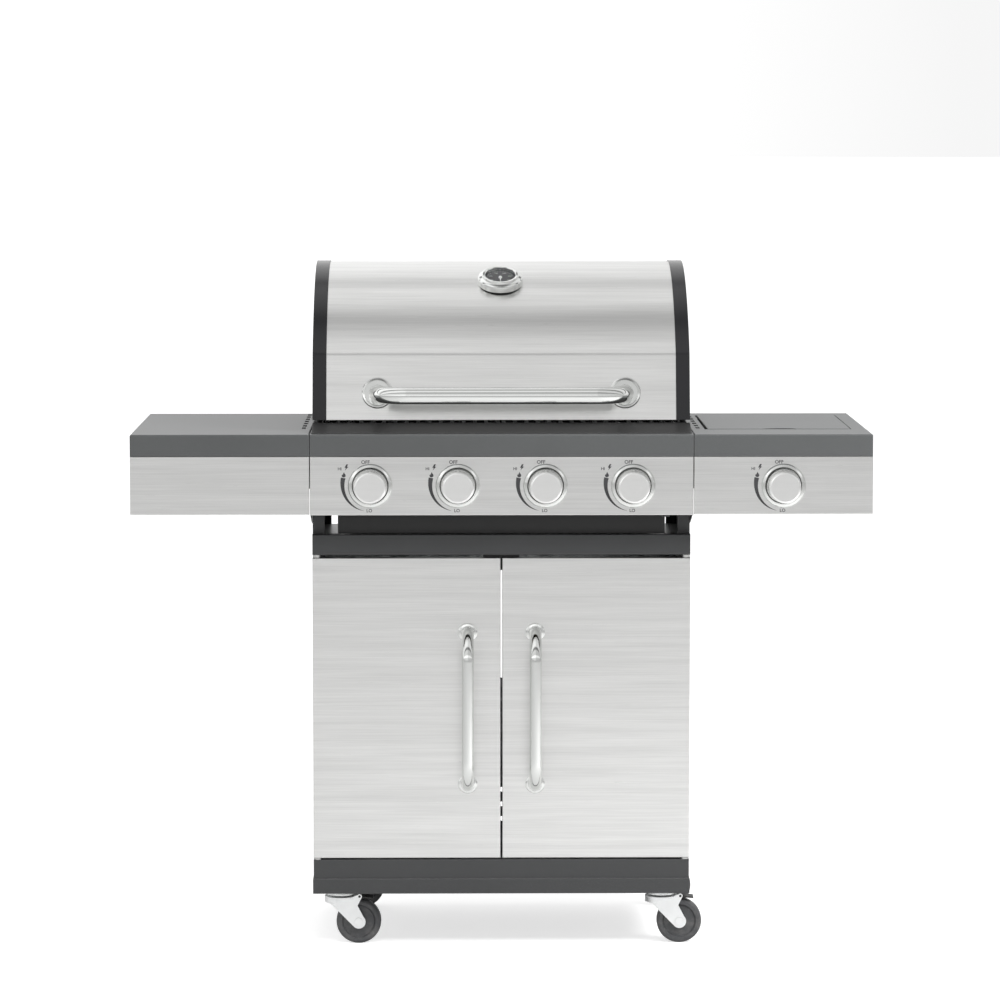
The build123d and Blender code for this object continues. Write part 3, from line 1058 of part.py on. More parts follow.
def side_burner_grate():
    """Pan support: a frame of bars with four fingers that point at the burner, on four feet."""
    bar, half = GRATE_BAR, GRATE_BAR / 2
    x0, x1 = COVER_LEFT + SIDE_GRATE_INSET, COVER_RIGHT - SIDE_GRATE_INSET
    y0, y1 = COVER_FRONT + SIDE_GRATE_INSET, COVER_BACK - BOWL_BACK_INSET - BOWL_INSET
    z1, z0 = SIDE_GRATE_TOP, SIDE_GRATE_TOP - SIDE_GRATE_DEPTH
    grate = fillet(block(x0, x1, y0, y1, z0, z1).edges().filter_by(Axis.Z), SIDE_GRATE_CORNER)
    hollow = block(x0 + bar, x1 - bar, y0 + bar, y1 - bar, z0 - CUT, z1 + CUT)
    grate -= fillet(hollow.edges().filter_by(Axis.Z), SIDE_GRATE_CORNER - bar)
    xc, yc = TABLE_MIDDLE, SIDE_BURNER_Y
    for side, edge_x, edge_y in ((-1, x0 + half, y0 + half), (1, x1 - half, y1 - half)):
        grate += block(xc + side * FINGER_INNER, edge_x, yc - half, yc + half, z0, z1)
        grate += block(xc - half, xc + half, yc + side * FINGER_INNER, edge_y, z0, z1)
        for y in (yc - FOOT_Y, yc + FOOT_Y):
            grate += rod_z(edge_x, y, WELL_BOTTOM + SHEET, z0 + CUT, half - GAP)
    return grate


piece("side_burner_bowl", side_burner_bowl())
piece("side_burner_grate", side_burner_grate())
piece("burners", group([main_burner(x) for x in BURNER_X] + [side_burner_head()]))

# ---------------------------------------------------------------------------------------------- lid
CAP_RIM = 23.0              # width of the black end caps' rims
LID_HINGE_Y = LID_BACK_Y - 50.0
LID_HINGE_Z = LID_BOTTOM + 24.0
LID_REAR_BOTTOM = LID_HINGE_Z + 20.0
LID_PIN = 4.0
LID_HEM = 16.0
SKIN_HALF = HALF_LID - CAP_RIM + 2.0
ARC_CENTRE_Z = LID_TOP - LID_RADIUS
CREASE_Z = LID_BOTTOM + LID_CREASE_HEIGHT
CREASE_Y = LID_Y + LID_LEAN
ARC_CENTRE_Y = CREASE_Y + math.sqrt(LID_RADIUS ** 2 - (CREASE_Z - ARC_CENTRE_Z) ** 2)
ARC_BACK_Z = ARC_CENTRE_Z + math.sqrt(LID_RADIUS ** 2 - (LID_BACK_Y - ARC_CENTRE_Y) ** 2)
LEAN = LID_LEAN / LID_CREASE_HEIGHT
LEAN_ANGLE = math.degrees(math.atan(LEAN))
CREASE_ROUND = 14.0
BACK_ROUND = 20.0
RUN_ON = 60.0               # how far the outline runs on below the lid before it is trimmed
BEYOND = 2 * LID_RADIUS     # reaches past the lid on every side

LID_HANDLE_Z = LID_BOTTOM + 44.0
LID_HANDLE_SPAN = 2 * (HALF_LID - 107.5)
LID_HANDLE_RADIUS = 14.0
LID_HANDLE_REACH = 66.0
LID_HANDLE_BEND = 48.0
LID_ROSE_RADIUS = 26.0
HANDLE_FACE_Y = LID_Y + (LID_HANDLE_Z - LID_BOTTOM) * LEAN
STUD_HOLE = BOLT_RADIUS + 0.3
LID_STUD_INTO_TUBE = 14.0
LID_STUD_BEHIND = 5.0       # the nut's seat behind the lid's face, on a spherical washer

THERMO_SLOPE = 25.3         # how far the lid's surface slopes where the thermometer sits
THERMO_RADIUS = 38.0
THERMO_STEM = 4.0
THERMO_STEM_LENGTH = 49.0
THERMO_SEAT = 0.3
THERMO_Y = ARC_CENTRE_Y - LID_RADIUS * math.sin(math.radians(THERMO_SLOPE))
THERMO_Z = ARC_CENTRE_Z + LID_RADIUS * math.cos(math.radians(THERMO_SLOPE))
DIAL_RADIUS = 25.2
DIAL_FLOOR = 9.0
DIAL_THICKNESS = 0.8


def on_arc(degrees):
    """Point on the lid's arc, degrees behind its top."""
    angle = math.radians(degrees)
    return (0, ARC_CENTRE_Y + LID_RADIUS * math.sin(angle), ARC_CENTRE_Z + LID_RADIUS * math.cos(angle))


def lid_face(grow):
    """Side outline of the lid, grown outwards by grow and run on below its bottom edge."""
    low = LID_BOTTOM - RUN_ON
    foot = (0, LID_Y - LEAN * RUN_ON, low)
    crease = (0, CREASE_Y, CREASE_Z)
    top = on_arc(0)
    back = (0, LID_BACK_Y, ARC_BACK_Z)
    heel = (0, LID_BACK_Y, low)
    outline = Line(foot, crease) + ThreePointArc(crease, on_arc(-20), top)
    outline += ThreePointArc(top, on_arc(10), back) + Line(back, heel) + Line(heel, foot)
    face = make_face(outline)
    rounded = fillet([v for v in face.vertices() if abs(v.Z - CREASE_Z) < RUNNING], CREASE_ROUND)
    rounded = fillet([v for v in rounded.vertices() if abs(v.Z - ARC_BACK_Z) < RUNNING], BACK_ROUND)
    return offset(rounded, amount=grow, kind=Kind.INTERSECTION) if grow else rounded


def lid_prism(grow, x0, x1):
    return Pos(min(x0, x1), 0, 0) * extrude(lid_face(grow), amount=abs(x1 - x0), dir=(1, 0, 0))


def lid_shell():
    """Brushed stainless lid skin from the hemmed front edge over the top to the back edge."""
    x = SKIN_HALF
    shell = lid_prism(0, -x, x) - lid_prism(-SKIN, -x - CUT, x + CUT)
    shell -= block(-BEYOND, BEYOND, -BEYOND, LID_HINGE_Y, 0, LID_BOTTOM)
    shell -= block(-BEYOND, BEYOND, LID_HINGE_Y - CUT, BEYOND, 0, LID_REAR_BOTTOM)
    hem = block(-x, x, LID_Y + GAP, LID_Y + LID_HEM, LID_BOTTOM, LID_BOTTOM + SKIN)
    shell += hem & lid_prism(0, -x, x)
    shell -= on_thermometer(Cylinder(THERMO_STEM + GAP, 2 * THERMO_RADIUS))
    for side in (-1, 1):
        x = side * LID_HANDLE_SPAN / 2
        shell -= rod_y(x, LID_Y - CREASE_ROUND, CREASE_Y + CREASE_ROUND, LID_HANDLE_Z, STUD_HOLE)
    return shell


def lid_cap():
    """Right end cap: a black pressed side whose rim laps over the stainless skin, with the hinge hole."""
    plate = lid_prism(CAP_GROW, HALF_LID - SHEET, HALF_LID)
    rim = lid_prism(CAP_GROW, HALF_LID - CAP_RIM, HALF_LID - SHEET / 2)
    rim -= lid_prism(CAP_PROUD, 0, HALF_LID - SHEET)
    cap = plate + rim
    cap -= side_prism([(-BEYOND, LID_BOTTOM), (LID_HINGE_Y, LID_BOTTOM), (LID_BACK_Y - 8, LID_REAR_BOTTOM),
                       (BEYOND, LID_REAR_BOTTOM), (BEYOND, 0), (-BEYOND, 0)], 0, BEYOND)
    cap -= rod_x(HALF_LID - SHEET - CUT, HALF_LID + CUT, LID_HINGE_Y, LID_HINGE_Z, LID_PIN + RUNNING)
    return cap


BRACKET_THICKNESS = 3.0
BRACKET_FOOT_FRONT = 34.0   # in front of the hinge line
BRACKET_FOOT_BACK = 4.0
BRACKET_HEAD_FRONT = 14.0
BRACKET_HEAD = 8.0          # above and behind the pin
WASHER = 3.0


def lid_hinges():
    """A bracket on each end of the firebox rim with the pin that the lid turns on."""
    y, z = LID_HINGE_Y, LID_HINGE_Z
    outline = [(y - BRACKET_FOOT_FRONT, RIM_TOP), (y - BRACKET_HEAD_FRONT, z + BRACKET_HEAD),
               (y + BRACKET_HEAD - 2, z + BRACKET_HEAD), (y + BRACKET_HEAD, z - LID_PIN),
               (y - BRACKET_FOOT_BACK, RIM_TOP)]
    found = []
    for side in (-1, 1):
        inner = side * (FIREBOX_HALF + 1)
        plate = side_prism(outline, inner, inner + side * BRACKET_THICKNESS)
        pin = rod_x(inner, side * (HALF_LID + WASHER), y, z, LID_PIN)
        shoulder = side * (HALF_LID - SHEET - GAP)
        pin += rod_x(shoulder - side * WASHER, shoulder, y, z, LID_PIN + 3)
        head = side * (HALF_LID + GAP)
        pin += rod_x(head, head + side * WASHER, y, z, LID_PIN + 3)
        found.append(plate + pin)
    return found


def lid_handle():
    """Tube handle across the lid, its legs level, trimmed to the sloping front."""
    run_in = LID_HANDLE_RADIUS
    bar = bent_bar(LID_HANDLE_SPAN, LID_HANDLE_REACH + run_in, LID_HANDLE_BEND, LID_HANDLE_RADIUS)
    bar = Pos(0, HANDLE_FACE_Y + run_in, LID_HANDLE_Z) * Rot(0, 90, 0) * bar
    return bar - lid_prism(RUNNING, -BEYOND, BEYOND)


def lid_roses():
    """Round cover plates under the lid handle's legs, tilted with the lid's front, and the studs inside."""
    found = []
    plug = LID_HANDLE_RADIUS - TUBE_WALL - RUNNING
    face, z = HANDLE_FACE_Y, LID_HANDLE_Z
    for side in (-1, 1):
        x = side * LID_HANDLE_SPAN / 2
        disc = rose(LID_ROSE_RADIUS, LID_PIN)
        disc = Pos(x, face, z) * Rot(-LEAN_ANGLE, 0, 0) * Rot(90, 0, 0) * Pos(0, 0, RUNNING) * disc
        disc -= rod_y(x, face - LID_HANDLE_REACH, face + LID_HANDLE_REACH, z, LID_HANDLE_RADIUS + RUNNING)
        found.append(disc)
        plug_front = face - LID_STUD_INTO_TUBE
        nut_front = face + LID_STUD_BEHIND
        stud = rod_y(x, plug_front, nut_front + NUT_HEIGHT, z, BOLT_RADIUS)
        stud += rod_y(x, plug_front, plug_front + NUT_HEIGHT, z, plug)
        stud += rod_y(x, nut_front, nut_front + NUT_HEIGHT, z, NUT_RADIUS)
        found.append(stud)
    return found


def on_thermometer(shape):
    """Places a piece modelled along +Z on the lid, square to its surface."""
    return Pos(0, THERMO_Y, THERMO_Z) * Rot(THERMO_SLOPE, 0, 0) * shape


def thermometer_case():
    """Chromed case with a rounded shoulder, a raised collar round the dial, and the probe through the lid."""
    r, seat = THERMO_RADIUS, THERMO_SEAT
    case = turned([(0, seat), (r - 1, seat), (r, seat + 1), (r, 9), (r - 0.7, 11), (r - 2.6, 12.6),
                   (r - 5, 13.4), (r - 7, 14), (r - 7.8, 16.6), (r - 8.6, 17.4), (r - 11.6, 17.0),
                   (r - 12.6, 16), (r - 12.6, DIAL_FLOOR), (0, DIAL_FLOOR)])
    stem = Pos(0, 0, DIAL_FLOOR / 2 - THERMO_STEM_LENGTH / 2) * Cylinder(THERMO_STEM, THERMO_STEM_LENGTH)
    return on_thermometer(case + stem)


def thermometer_dial():
    """Dial plate on the floor of the case."""
    plate = Cylinder(DIAL_RADIUS, DIAL_THICKNESS)
    return on_thermometer(Pos(0, 0, DIAL_FLOOR + DIAL_THICKNESS / 2) * plate)


piece("lid_shell", lid_shell())
piece("lid_right_cap", lid_cap())
piece("lid_left_cap", mirrored(lid_cap()))
piece("lid_handle", group([lid_handle()] + lid_roses()))
piece("thermometer_case", thermometer_case())
piece("thermometer_dial", thermometer_dial())
piece("hinge_pins_and_brackets", group(lid_hinges() + cover_pins() + door_pins()))

# -------------------------------------------------------------------------------- bumpers and bolts
BUMPER_RADIUS = 5.0
BUMPER_FRONT = FIREBOX_FRONT + 40.0
BUMPER_BACK = FIREBOX_BACK - 90.0
BOLT_HEAD = 5.6             # across the corners, from the middle
BOLT_HEAD_HEIGHT = 4.0
SPACER_RADIUS = 7.0


def bumpers():
    """Rubber buttons under the lid's ends that it closes on."""
    x = FIREBOX_HALF + RIM_OUT - BUMPER_RADIUS - GAP
    return group([rod_z(side * x, y, RIM_TOP, LID_BOTTOM - 2 * GAP, BUMPER_RADIUS)
                  for side in (-1, 1) for y in (BUMPER_FRONT, BUMPER_BACK)])


def hex_bolt(x, y, z, direction, length):
    """A small hex-headed bolt whose shank runs along direction from its head's seat at x, y, z."""
    head = extrude(RegularPolygon(BOLT_HEAD, 6), amount=BOLT_HEAD_HEIGHT)
    shank = Pos(0, 0, -length / 2) * Cylinder(BOLT_RADIUS, length)
    return Plane(origin=(x, y, z), z_dir=tuple(-d for d in direction)) * (head + shank)


def bolts():
    """Bolts and spacers between the cabinet sides, the tables and the control box, and the casters' bolts."""
    found = []
    for side in (-1, 1):
        inside = side * (HALF_CABINET - SHEET)
        for y in TABLE_BOLT_Y:
            spacer = rod_x(side * HALF_CABINET, side * TABLE_INNER, y, TABLE_BOLT_Z, SPACER_RADIUS)
            grip = TABLE_INNER + 2 * SHEET + BOLT_HEAD_HEIGHT - HALF_CABINET
            found.append(hex_bolt(inside, y, TABLE_BOLT_Z, (side, 0, 0), grip) + spacer)
        for z in CHEEK_BOLT_Z:
            spacer = rod_x(side * HALF_CABINET, side * (HALF_BODY - SHEET), CHEEK_BOLT_Y, z, SPACER_RADIUS)
            grip = HALF_BODY + SHEET - HALF_CABINET
            found.append(hex_bolt(inside, CHEEK_BOLT_Y, z, (side, 0, 0), grip) + spacer)
    seat = CASTER_HEIGHT + SHEET
    for x, y in CASTERS.values():
        for dx, dy in PLATE_BOLTS:
            found.append(hex_bolt(x + dx, y + dy, seat, (0, 0, -1), SHEET + PLATE_THICKNESS))
    return group(found)


piece("lid_bumpers", bumpers())
piece("assembly_bolts", bolts())

# ------------------------------------------------------------------------------------------- export
os.makedirs("parts", exist_ok=True)
for name, shape in PIECES.items():
    export_step(shape, f"parts/{name}.step")
print(len(PIECES), "nodes")
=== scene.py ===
"""A four-burner gas barbecue grill on a two-door cart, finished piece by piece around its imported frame."""
import math

import bmesh
import bpy
from mathutils import Matrix, Vector


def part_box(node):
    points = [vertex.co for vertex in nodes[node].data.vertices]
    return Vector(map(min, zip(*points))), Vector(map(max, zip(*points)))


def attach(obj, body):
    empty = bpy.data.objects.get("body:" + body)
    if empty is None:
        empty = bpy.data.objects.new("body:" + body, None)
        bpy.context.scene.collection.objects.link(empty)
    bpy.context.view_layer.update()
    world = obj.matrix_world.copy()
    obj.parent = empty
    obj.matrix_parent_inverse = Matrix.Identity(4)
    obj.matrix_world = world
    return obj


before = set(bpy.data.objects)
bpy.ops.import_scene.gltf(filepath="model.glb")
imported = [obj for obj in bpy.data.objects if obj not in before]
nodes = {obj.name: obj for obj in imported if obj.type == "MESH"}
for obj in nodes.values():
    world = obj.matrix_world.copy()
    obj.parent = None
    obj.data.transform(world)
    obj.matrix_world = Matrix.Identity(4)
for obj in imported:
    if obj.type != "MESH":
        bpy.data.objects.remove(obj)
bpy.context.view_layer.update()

MM = 0.001
MIX_SHARE, MIX_A, MIX_B, MIX_OUT = 0, 6, 7, 2        # a colour mix node's sockets
FLOAT_A, FLOAT_B, FLOAT_OUT = 2, 3, 0                # and a float one's

# -----------------------------------------------------------------------------------------------------------
# Room. A white studio: a pale floor that runs out of sight, walls and ceiling lit evenly except for dark
# strips between the lamps, a long soft box high over the front and a closer one at the right.
FLOOR_SIZE = 300.0
FLOOR_GREY = 0.65
FLOOR_LIFT = 0.65            # keeps the floor white to the eye without lighting the grill from below
ROOM_LIGHT = [
    (0.0, 0.72), (0.04, 0.76), (0.06, 1.25), (0.09, 1.25), (0.11, 0.7), (0.2, 0.74), (0.23, 0.25),
    (0.26, 0.25), (0.29, 0.95), (0.38, 0.98), (0.46, 0.72), (0.485, 0.2), (0.515, 0.2), (0.54, 0.75),
    (0.6, 1.05), (0.68, 1.1), (0.695, 0.2), (0.715, 0.2), (0.73, 1.1), (1.0, 1.1),
]                           # (angle over the grill, light) from the front horizon to the back one
LEFT_TO_RIGHT = (1.16, 0.84)
SIDE_SPREAD = 0.12
FRONT_BOX_POWER = 110.0
RIGHT_BOX_POWER = 95.0


def node(tree, kind, settings=None, values=None):
    """A shader node with its settings and its unlinked inputs filled in."""
    made = tree.nodes.new(kind)
    for name, value in (settings or {}).items():
        setattr(made, name, value)
    for name, value in (values or {}).items():
        made.inputs[name].default_value = value
    return made


def wire(tree, start, output, end, entry):
    tree.links.new(start.outputs[output], end.inputs[entry])


def colour_mix(tree, first, second):
    """A node that mixes two colours by a share."""
    return node(tree, "ShaderNodeMix", {"data_type": "RGBA"}, {MIX_A: first, MIX_B: second})


def studio_floor():
    """The pale floor; the eye sees it lifted to white, but it lights the grill as plain grey."""
    bpy.ops.object.select_all(action="DESELECT")
    bpy.ops.mesh.primitive_plane_add(size=FLOOR_SIZE, location=(0, 0, 0))
    floor = bpy.context.object
    floor.name = "studio_floor"
    paint = bpy.data.materials.new("floor_paint")
    paint.use_nodes = True
    tree = paint.node_tree
    shader = tree.nodes["Principled BSDF"]
    shader.inputs["Base Color"].default_value = (FLOOR_GREY, FLOOR_GREY, FLOOR_GREY, 1)
    shader.inputs["Roughness"].default_value = 0.9
    shader.inputs["Specular IOR Level"].default_value = 0.1
    shader.inputs["Emission Strength"].default_value = FLOOR_LIFT
    eye = node(tree, "ShaderNodeLightPath")
    lift = colour_mix(tree, (0, 0, 0, 1), (1, 1, 1, 1))
    wire(tree, eye, "Is Camera Ray", lift, MIX_SHARE)
    wire(tree, lift, MIX_OUT, shader, "Emission Color")
    floor.data.materials.append(paint)


def studio_walls():
    """Light that changes with the angle over the grill, from the front horizon (0) to the back one (1)."""
    world = bpy.data.worlds.new("studio")
    bpy.context.scene.world = world
    world.use_nodes = True
    sky = world.node_tree
    sky.nodes.clear()
    direction = node(sky, "ShaderNodeTexCoord")
    split = node(sky, "ShaderNodeSeparateXYZ")
    front = node(sky, "ShaderNodeMath", {"operation": "MULTIPLY"}, {1: -1.0})
    up = node(sky, "ShaderNodeMath", {"operation": "ABSOLUTE"})
    angle = node(sky, "ShaderNodeMath", {"operation": "ARCTAN2"})
    share = node(sky, "ShaderNodeMath", {"operation": "DIVIDE"}, {1: math.pi})
    side = node(sky, "ShaderNodeMapRange", {}, {"From Min": -SIDE_SPREAD, "From Max": SIDE_SPREAD,
                                                "To Min": LEFT_TO_RIGHT[0], "To Max": LEFT_TO_RIGHT[1]})
    ramp = node(sky, "ShaderNodeValToRGB")
    background = node(sky, "ShaderNodeBackground")
    output = node(sky, "ShaderNodeOutputWorld")
    last = len(ROOM_LIGHT) - 1
    for held, (place, light) in enumerate(ROOM_LIGHT):
        stops = ramp.color_ramp.elements
        stop = stops[0] if held == 0 else stops[-1] if held == last else stops.new(place)
        stop.position = place
        stop.color = (light, light, light, 1)
    wire(sky, direction, "Generated", split, "Vector")
    wire(sky, split, "Y", front, 0)
    wire(sky, split, "Z", up, 0)
    wire(sky, split, "X", side, "Value")
    wire(sky, up, "Value", angle, 0)
    wire(sky, front, "Value", angle, 1)
    wire(sky, angle, "Value", share, 0)
    wire(sky, share, "Value", ramp, "Fac")
    wire(sky, ramp, "Color", background, "Color")
    wire(sky, side, "Result", background, "Strength")
    wire(sky, background, "Background", output, "Surface")


def soft_box(name, power, width, height, place, target):
    """A rectangular studio light that faces a point."""
    light = bpy.data.lights.new(name, "AREA")
    light.shape = "RECTANGLE"
    light.size = width
    light.size_y = height
    light.energy = power
    lamp = bpy.data.objects.new(name, light)
    lamp.visible_camera = False
    lamp.visible_glossy = False
    bpy.context.scene.collection.objects.link(lamp)
    lamp.location = place
    lamp.rotation_euler = (Vector(target) - Vector(place)).to_track_quat("-Z", "Y").to_euler()


studio_floor()
studio_walls()
soft_box("front_soft_box", FRONT_BOX_POWER, 3.6, 0.9, (0.6, -4.6, 5.2), (0.1, 0, 0.8))
soft_box("right_soft_box", RIGHT_BOX_POWER, 1.2, 0.9, (1.9, -1.4, 2.3), (0.3, 0, 0.8))

# Camera. A long lens well in front of the grill, a little left of the middle and looking slightly down.
CAMERA_PLACE = (-0.0802, -7.1013, 1.414)
CAMERA_DOWN = 5.475
CAMERA_RIGHT = 0.645
CAMERA_LENS = 151.15

camera = bpy.data.cameras.new("front_camera")
camera.lens = CAMERA_LENS
camera.sensor_width = 36.0
camera.clip_end = 100.0
camera_stand = bpy.data.objects.new("front_camera", camera)
bpy.context.scene.collection.objects.link(camera_stand)
camera_stand.location = CAMERA_PLACE
camera_stand.rotation_euler = (math.radians(90 - CAMERA_DOWN), 0, math.radians(-CAMERA_RIGHT))
bpy.context.scene.camera = camera_stand
bpy.context.scene.view_settings.view_transform = "Standard"

# -----------------------------------------------------------------------------------------------------------
# Tables, control band and side burner cover. Folded steel sheet in a graphite powder coat: a fine pebbled
# skin with paler flecks, and a painted highlight that lightens the colour along its folds.
GRAPHITE = (0.062, 0.065, 0.066, 1)
GRAPHITE_FLECK = (0.16, 0.165, 0.16, 1)
# Pale grey of the painted highlight laid along the folds of every powder coat.
PAINTED_EDGE_HIGHLIGHT = (0.3, 0.3, 0.3, 1)


def shader_group(name, inputs, outputs):
    """An empty node group with float or vector sockets; returns its tree, input node and output node."""
    tree = bpy.data.node_groups.new(name, "ShaderNodeTree")
    for label, kind, value in inputs:
        socket = tree.interface.new_socket(label, in_out="INPUT", socket_type=kind)
        if value is not None:
            socket.default_value = value
    for label, kind in outputs:
        tree.interface.new_socket(label, in_out="OUTPUT", socket_type=kind)
    return tree, tree.nodes.new("NodeGroupInput"), tree.nodes.new("NodeGroupOutput")


def new_finish(name, values):
    """A material with its Principled shader's own sockets set; returns it with its tree and shader."""
    finish = bpy.data.materials.new(name)
    finish.use_nodes = True
    tree = finish.node_tree
    shader = tree.nodes["Principled BSDF"]
    for label, value in values.items():
        shader.inputs[label].default_value = value
    return finish, tree, shader


def coat(finish, *names):
    """Gives CAD pieces a finish."""
    for name in names:
        piece = nodes[name]
        if not piece.material_slots:
            piece.data.materials.append(finish)
        for held in piece.material_slots:
            held.material = finish


def pebble_group():
    """Powder coat: the pebbled height, the flecks and a slow change of tone over the sheet."""
    tree, start, end = shader_group(
        "powder_pebble",
        [("Vector", "NodeSocketVector", None), ("Grain", "NodeSocketFloat", 900.0)],
        [("Height", "NodeSocketFloat"), ("Fleck", "NodeSocketFloat"), ("Tone", "NodeSocketFloat")])
    fine = node(tree, "ShaderNodeTexNoise", {"noise_dimensions": "3D"}, {"Detail": 2.0, "Roughness": 0.6})
    wire(tree, start, "Vector", fine, "Vector")
    wire(tree, start, "Grain", fine, "Scale")
    wire(tree, fine, "Fac", end, "Height")
    sparkle = node(tree, "ShaderNodeTexNoise", {}, {"Scale": 1500.0, "Detail": 1.0})
    pick = node(tree, "ShaderNodeMapRange", {}, {"From Min": 0.56, "From Max": 0.74})
    wire(tree, start, "Vector", sparkle, "Vector")
    wire(tree, sparkle, "Fac", pick, "Value")
    wire(tree, pick, "Result", end, "Fleck")
    slow = node(tree, "ShaderNodeTexNoise", {}, {"Scale": 5.0, "Detail": 3.0})
    wire(tree, start, "Vector", slow, "Vector")
    wire(tree, slow, "Fac", end, "Tone")
    return tree


def fold_group():
    """Softened folds: the normal of the sheet with its sharp edges rounded, and a mask along those edges."""
    tree, start, end = shader_group(
        "softened_folds", [("Radius", "NodeSocketFloat", 0.001)],
        [("Normal", "NodeSocketVector"), ("Edge", "NodeSocketFloat")])
    round_off = node(tree, "ShaderNodeBevel", {"samples": 4})
    wire(tree, start, "Radius", round_off, "Radius")
    wire(tree, round_off, "Normal", end, "Normal")
    flat = node(tree, "ShaderNodeNewGeometry")
    meet = node(tree, "ShaderNodeVectorMath", {"operation": "DOT_PRODUCT"})
    wire(tree, round_off, "Normal", meet, 0)
    wire(tree, flat, "Normal", meet, 1)
    edge = node(tree, "ShaderNodeMapRange", {}, {"From Min": 1.0, "From Max": 0.85})
    wire(tree, meet, "Value", edge, "Value")
    wire(tree, edge, "Result", end, "Edge")
    return tree


powder_pebble = pebble_group()
softened_folds = fold_group()


def powder_coat(name, colour, fleck, roughness, radius):
    """A powder-coated sheet: pebbled skin, flecks, slow tone, and a painted highlight that lightens its
    folds.
    """
    gloss = {"Roughness": roughness, "Coat Weight": 0.08, "Coat Roughness": 0.25}
    finish, tree, shader = new_finish(name, gloss)
    where = node(tree, "ShaderNodeTexCoord")
    pebble = node(tree, "ShaderNodeGroup", {"node_tree": powder_pebble})
    folds = node(tree, "ShaderNodeGroup", {"node_tree": softened_folds}, {"Radius": radius})
    wire(tree, where, "Object", pebble, "Vector")
    flecked = colour_mix(tree, colour, fleck)
    share = node(tree, "ShaderNodeMath", {"operation": "MULTIPLY"}, {1: 0.55})
    wire(tree, pebble, "Fleck", share, 0)
    wire(tree, share, "Value", flecked, MIX_SHARE)
    toned = node(tree, "ShaderNodeHueSaturation", {}, {})
    tone = node(tree, "ShaderNodeMapRange", {}, {"To Min": 0.88, "To Max": 1.12})
    wire(tree, pebble, "Tone", tone, "Value")
    wire(tree, tone, "Result", toned, "Value")
    wire(tree, flecked, MIX_OUT, toned, "Color")
    # Painted highlight: the colour is lightened towards pale grey along the folds, through the fold mask.
    edge_highlight_mix = colour_mix(tree, colour, PAINTED_EDGE_HIGHLIGHT)
    highlight_share = node(tree, "ShaderNodeMath", {"operation": "MULTIPLY"}, {1: 0.3})
    wire(tree, folds, "Edge", highlight_share, 0)
    wire(tree, highlight_share, "Value", edge_highlight_mix, MIX_SHARE)
    wire(tree, toned, "Color", edge_highlight_mix, MIX_A)
    wire(tree, edge_highlight_mix, MIX_OUT, shader, "Base Color")
    skin = node(tree, "ShaderNodeBump", {}, {"Strength": 0.25, "Distance": 0.0002})
    wire(tree, pebble, "Height", skin, "Height")
    wire(tree, folds, "Normal", skin, "Normal")
    wire(tree, skin, "Normal", shader, "Normal")
    return finish


graphite = powder_coat("graphite_powder_coat", GRAPHITE, GRAPHITE_FLECK, 0.42, 0.0012)
coat(graphite, "left_table_top", "right_table_top", "control_band", "side_burner_cover")

# -----------------------------------------------------------------------------------------------------------
# Cart. The base tray, the front beam, the cabinet sides and the door catch are folded sheet in black powder
# coat; the manifold is black pipe. Rear panel and grease tray are galvanised sheet with its frosty spangle.
BLACK = (0.03, 0.031, 0.032, 1)
BLACK_FLECK = (0.085, 0.087, 0.09, 1)

black_paint = powder_coat("black_powder_coat", BLACK, BLACK_FLECK, 0.36, 0.0014)
coat(black_paint, "base_tray", "front_beam", "left_side_panel", "right_side_panel", "door_catch",
     "gas_manifold")


def galvanised_sheet():
    """Zinc spangle: large crystals that differ in tone and gloss."""
    finish, tree, shader = new_finish("galvanised_sheet", {"Metallic": 1.0})
    where = node(tree, "ShaderNodeTexCoord")
    crystals = node(tree, "ShaderNodeTexVoronoi", {"feature": "F1"}, {"Scale": 70.0, "Randomness": 1.0})
    tone = node(tree, "ShaderNodeSeparateColor")
    grey = colour_mix(tree, (0.42, 0.43, 0.44, 1), (0.62, 0.63, 0.64, 1))
    gloss = node(tree, "ShaderNodeMapRange", {}, {"To Min": 0.3, "To Max": 0.55})
    wire(tree, where, "Object", crystals, "Vector")
    wire(tree, crystals, "Color", tone, "Color")
    wire(tree, tone, "Red", grey, MIX_SHARE)
    wire(tree, grey, MIX_OUT, shader, "Base Color")
    wire(tree, tone, "Green", gloss, "Value")
    wire(tree, gloss, "Result", shader, "Roughness")
    return finish


coat(galvanised_sheet(), "rear_panel", "grease_tray")

# -----------------------------------------------------------------------------------------------------------
# Brushed stainless skins: lid, control panel, table fronts and doors. The sheet is brushed from side to
# side, so its grain runs level, in fine lines with broader bands of tone between them.
STAINLESS = (0.84, 0.84, 0.83, 1)
STAINLESS_DARK = (0.68, 0.68, 0.67, 1)
KNOB_LIGHT = (0.97, 0.97, 0.96, 1)
KNOB_DARK = (0.9, 0.9, 0.89, 1)


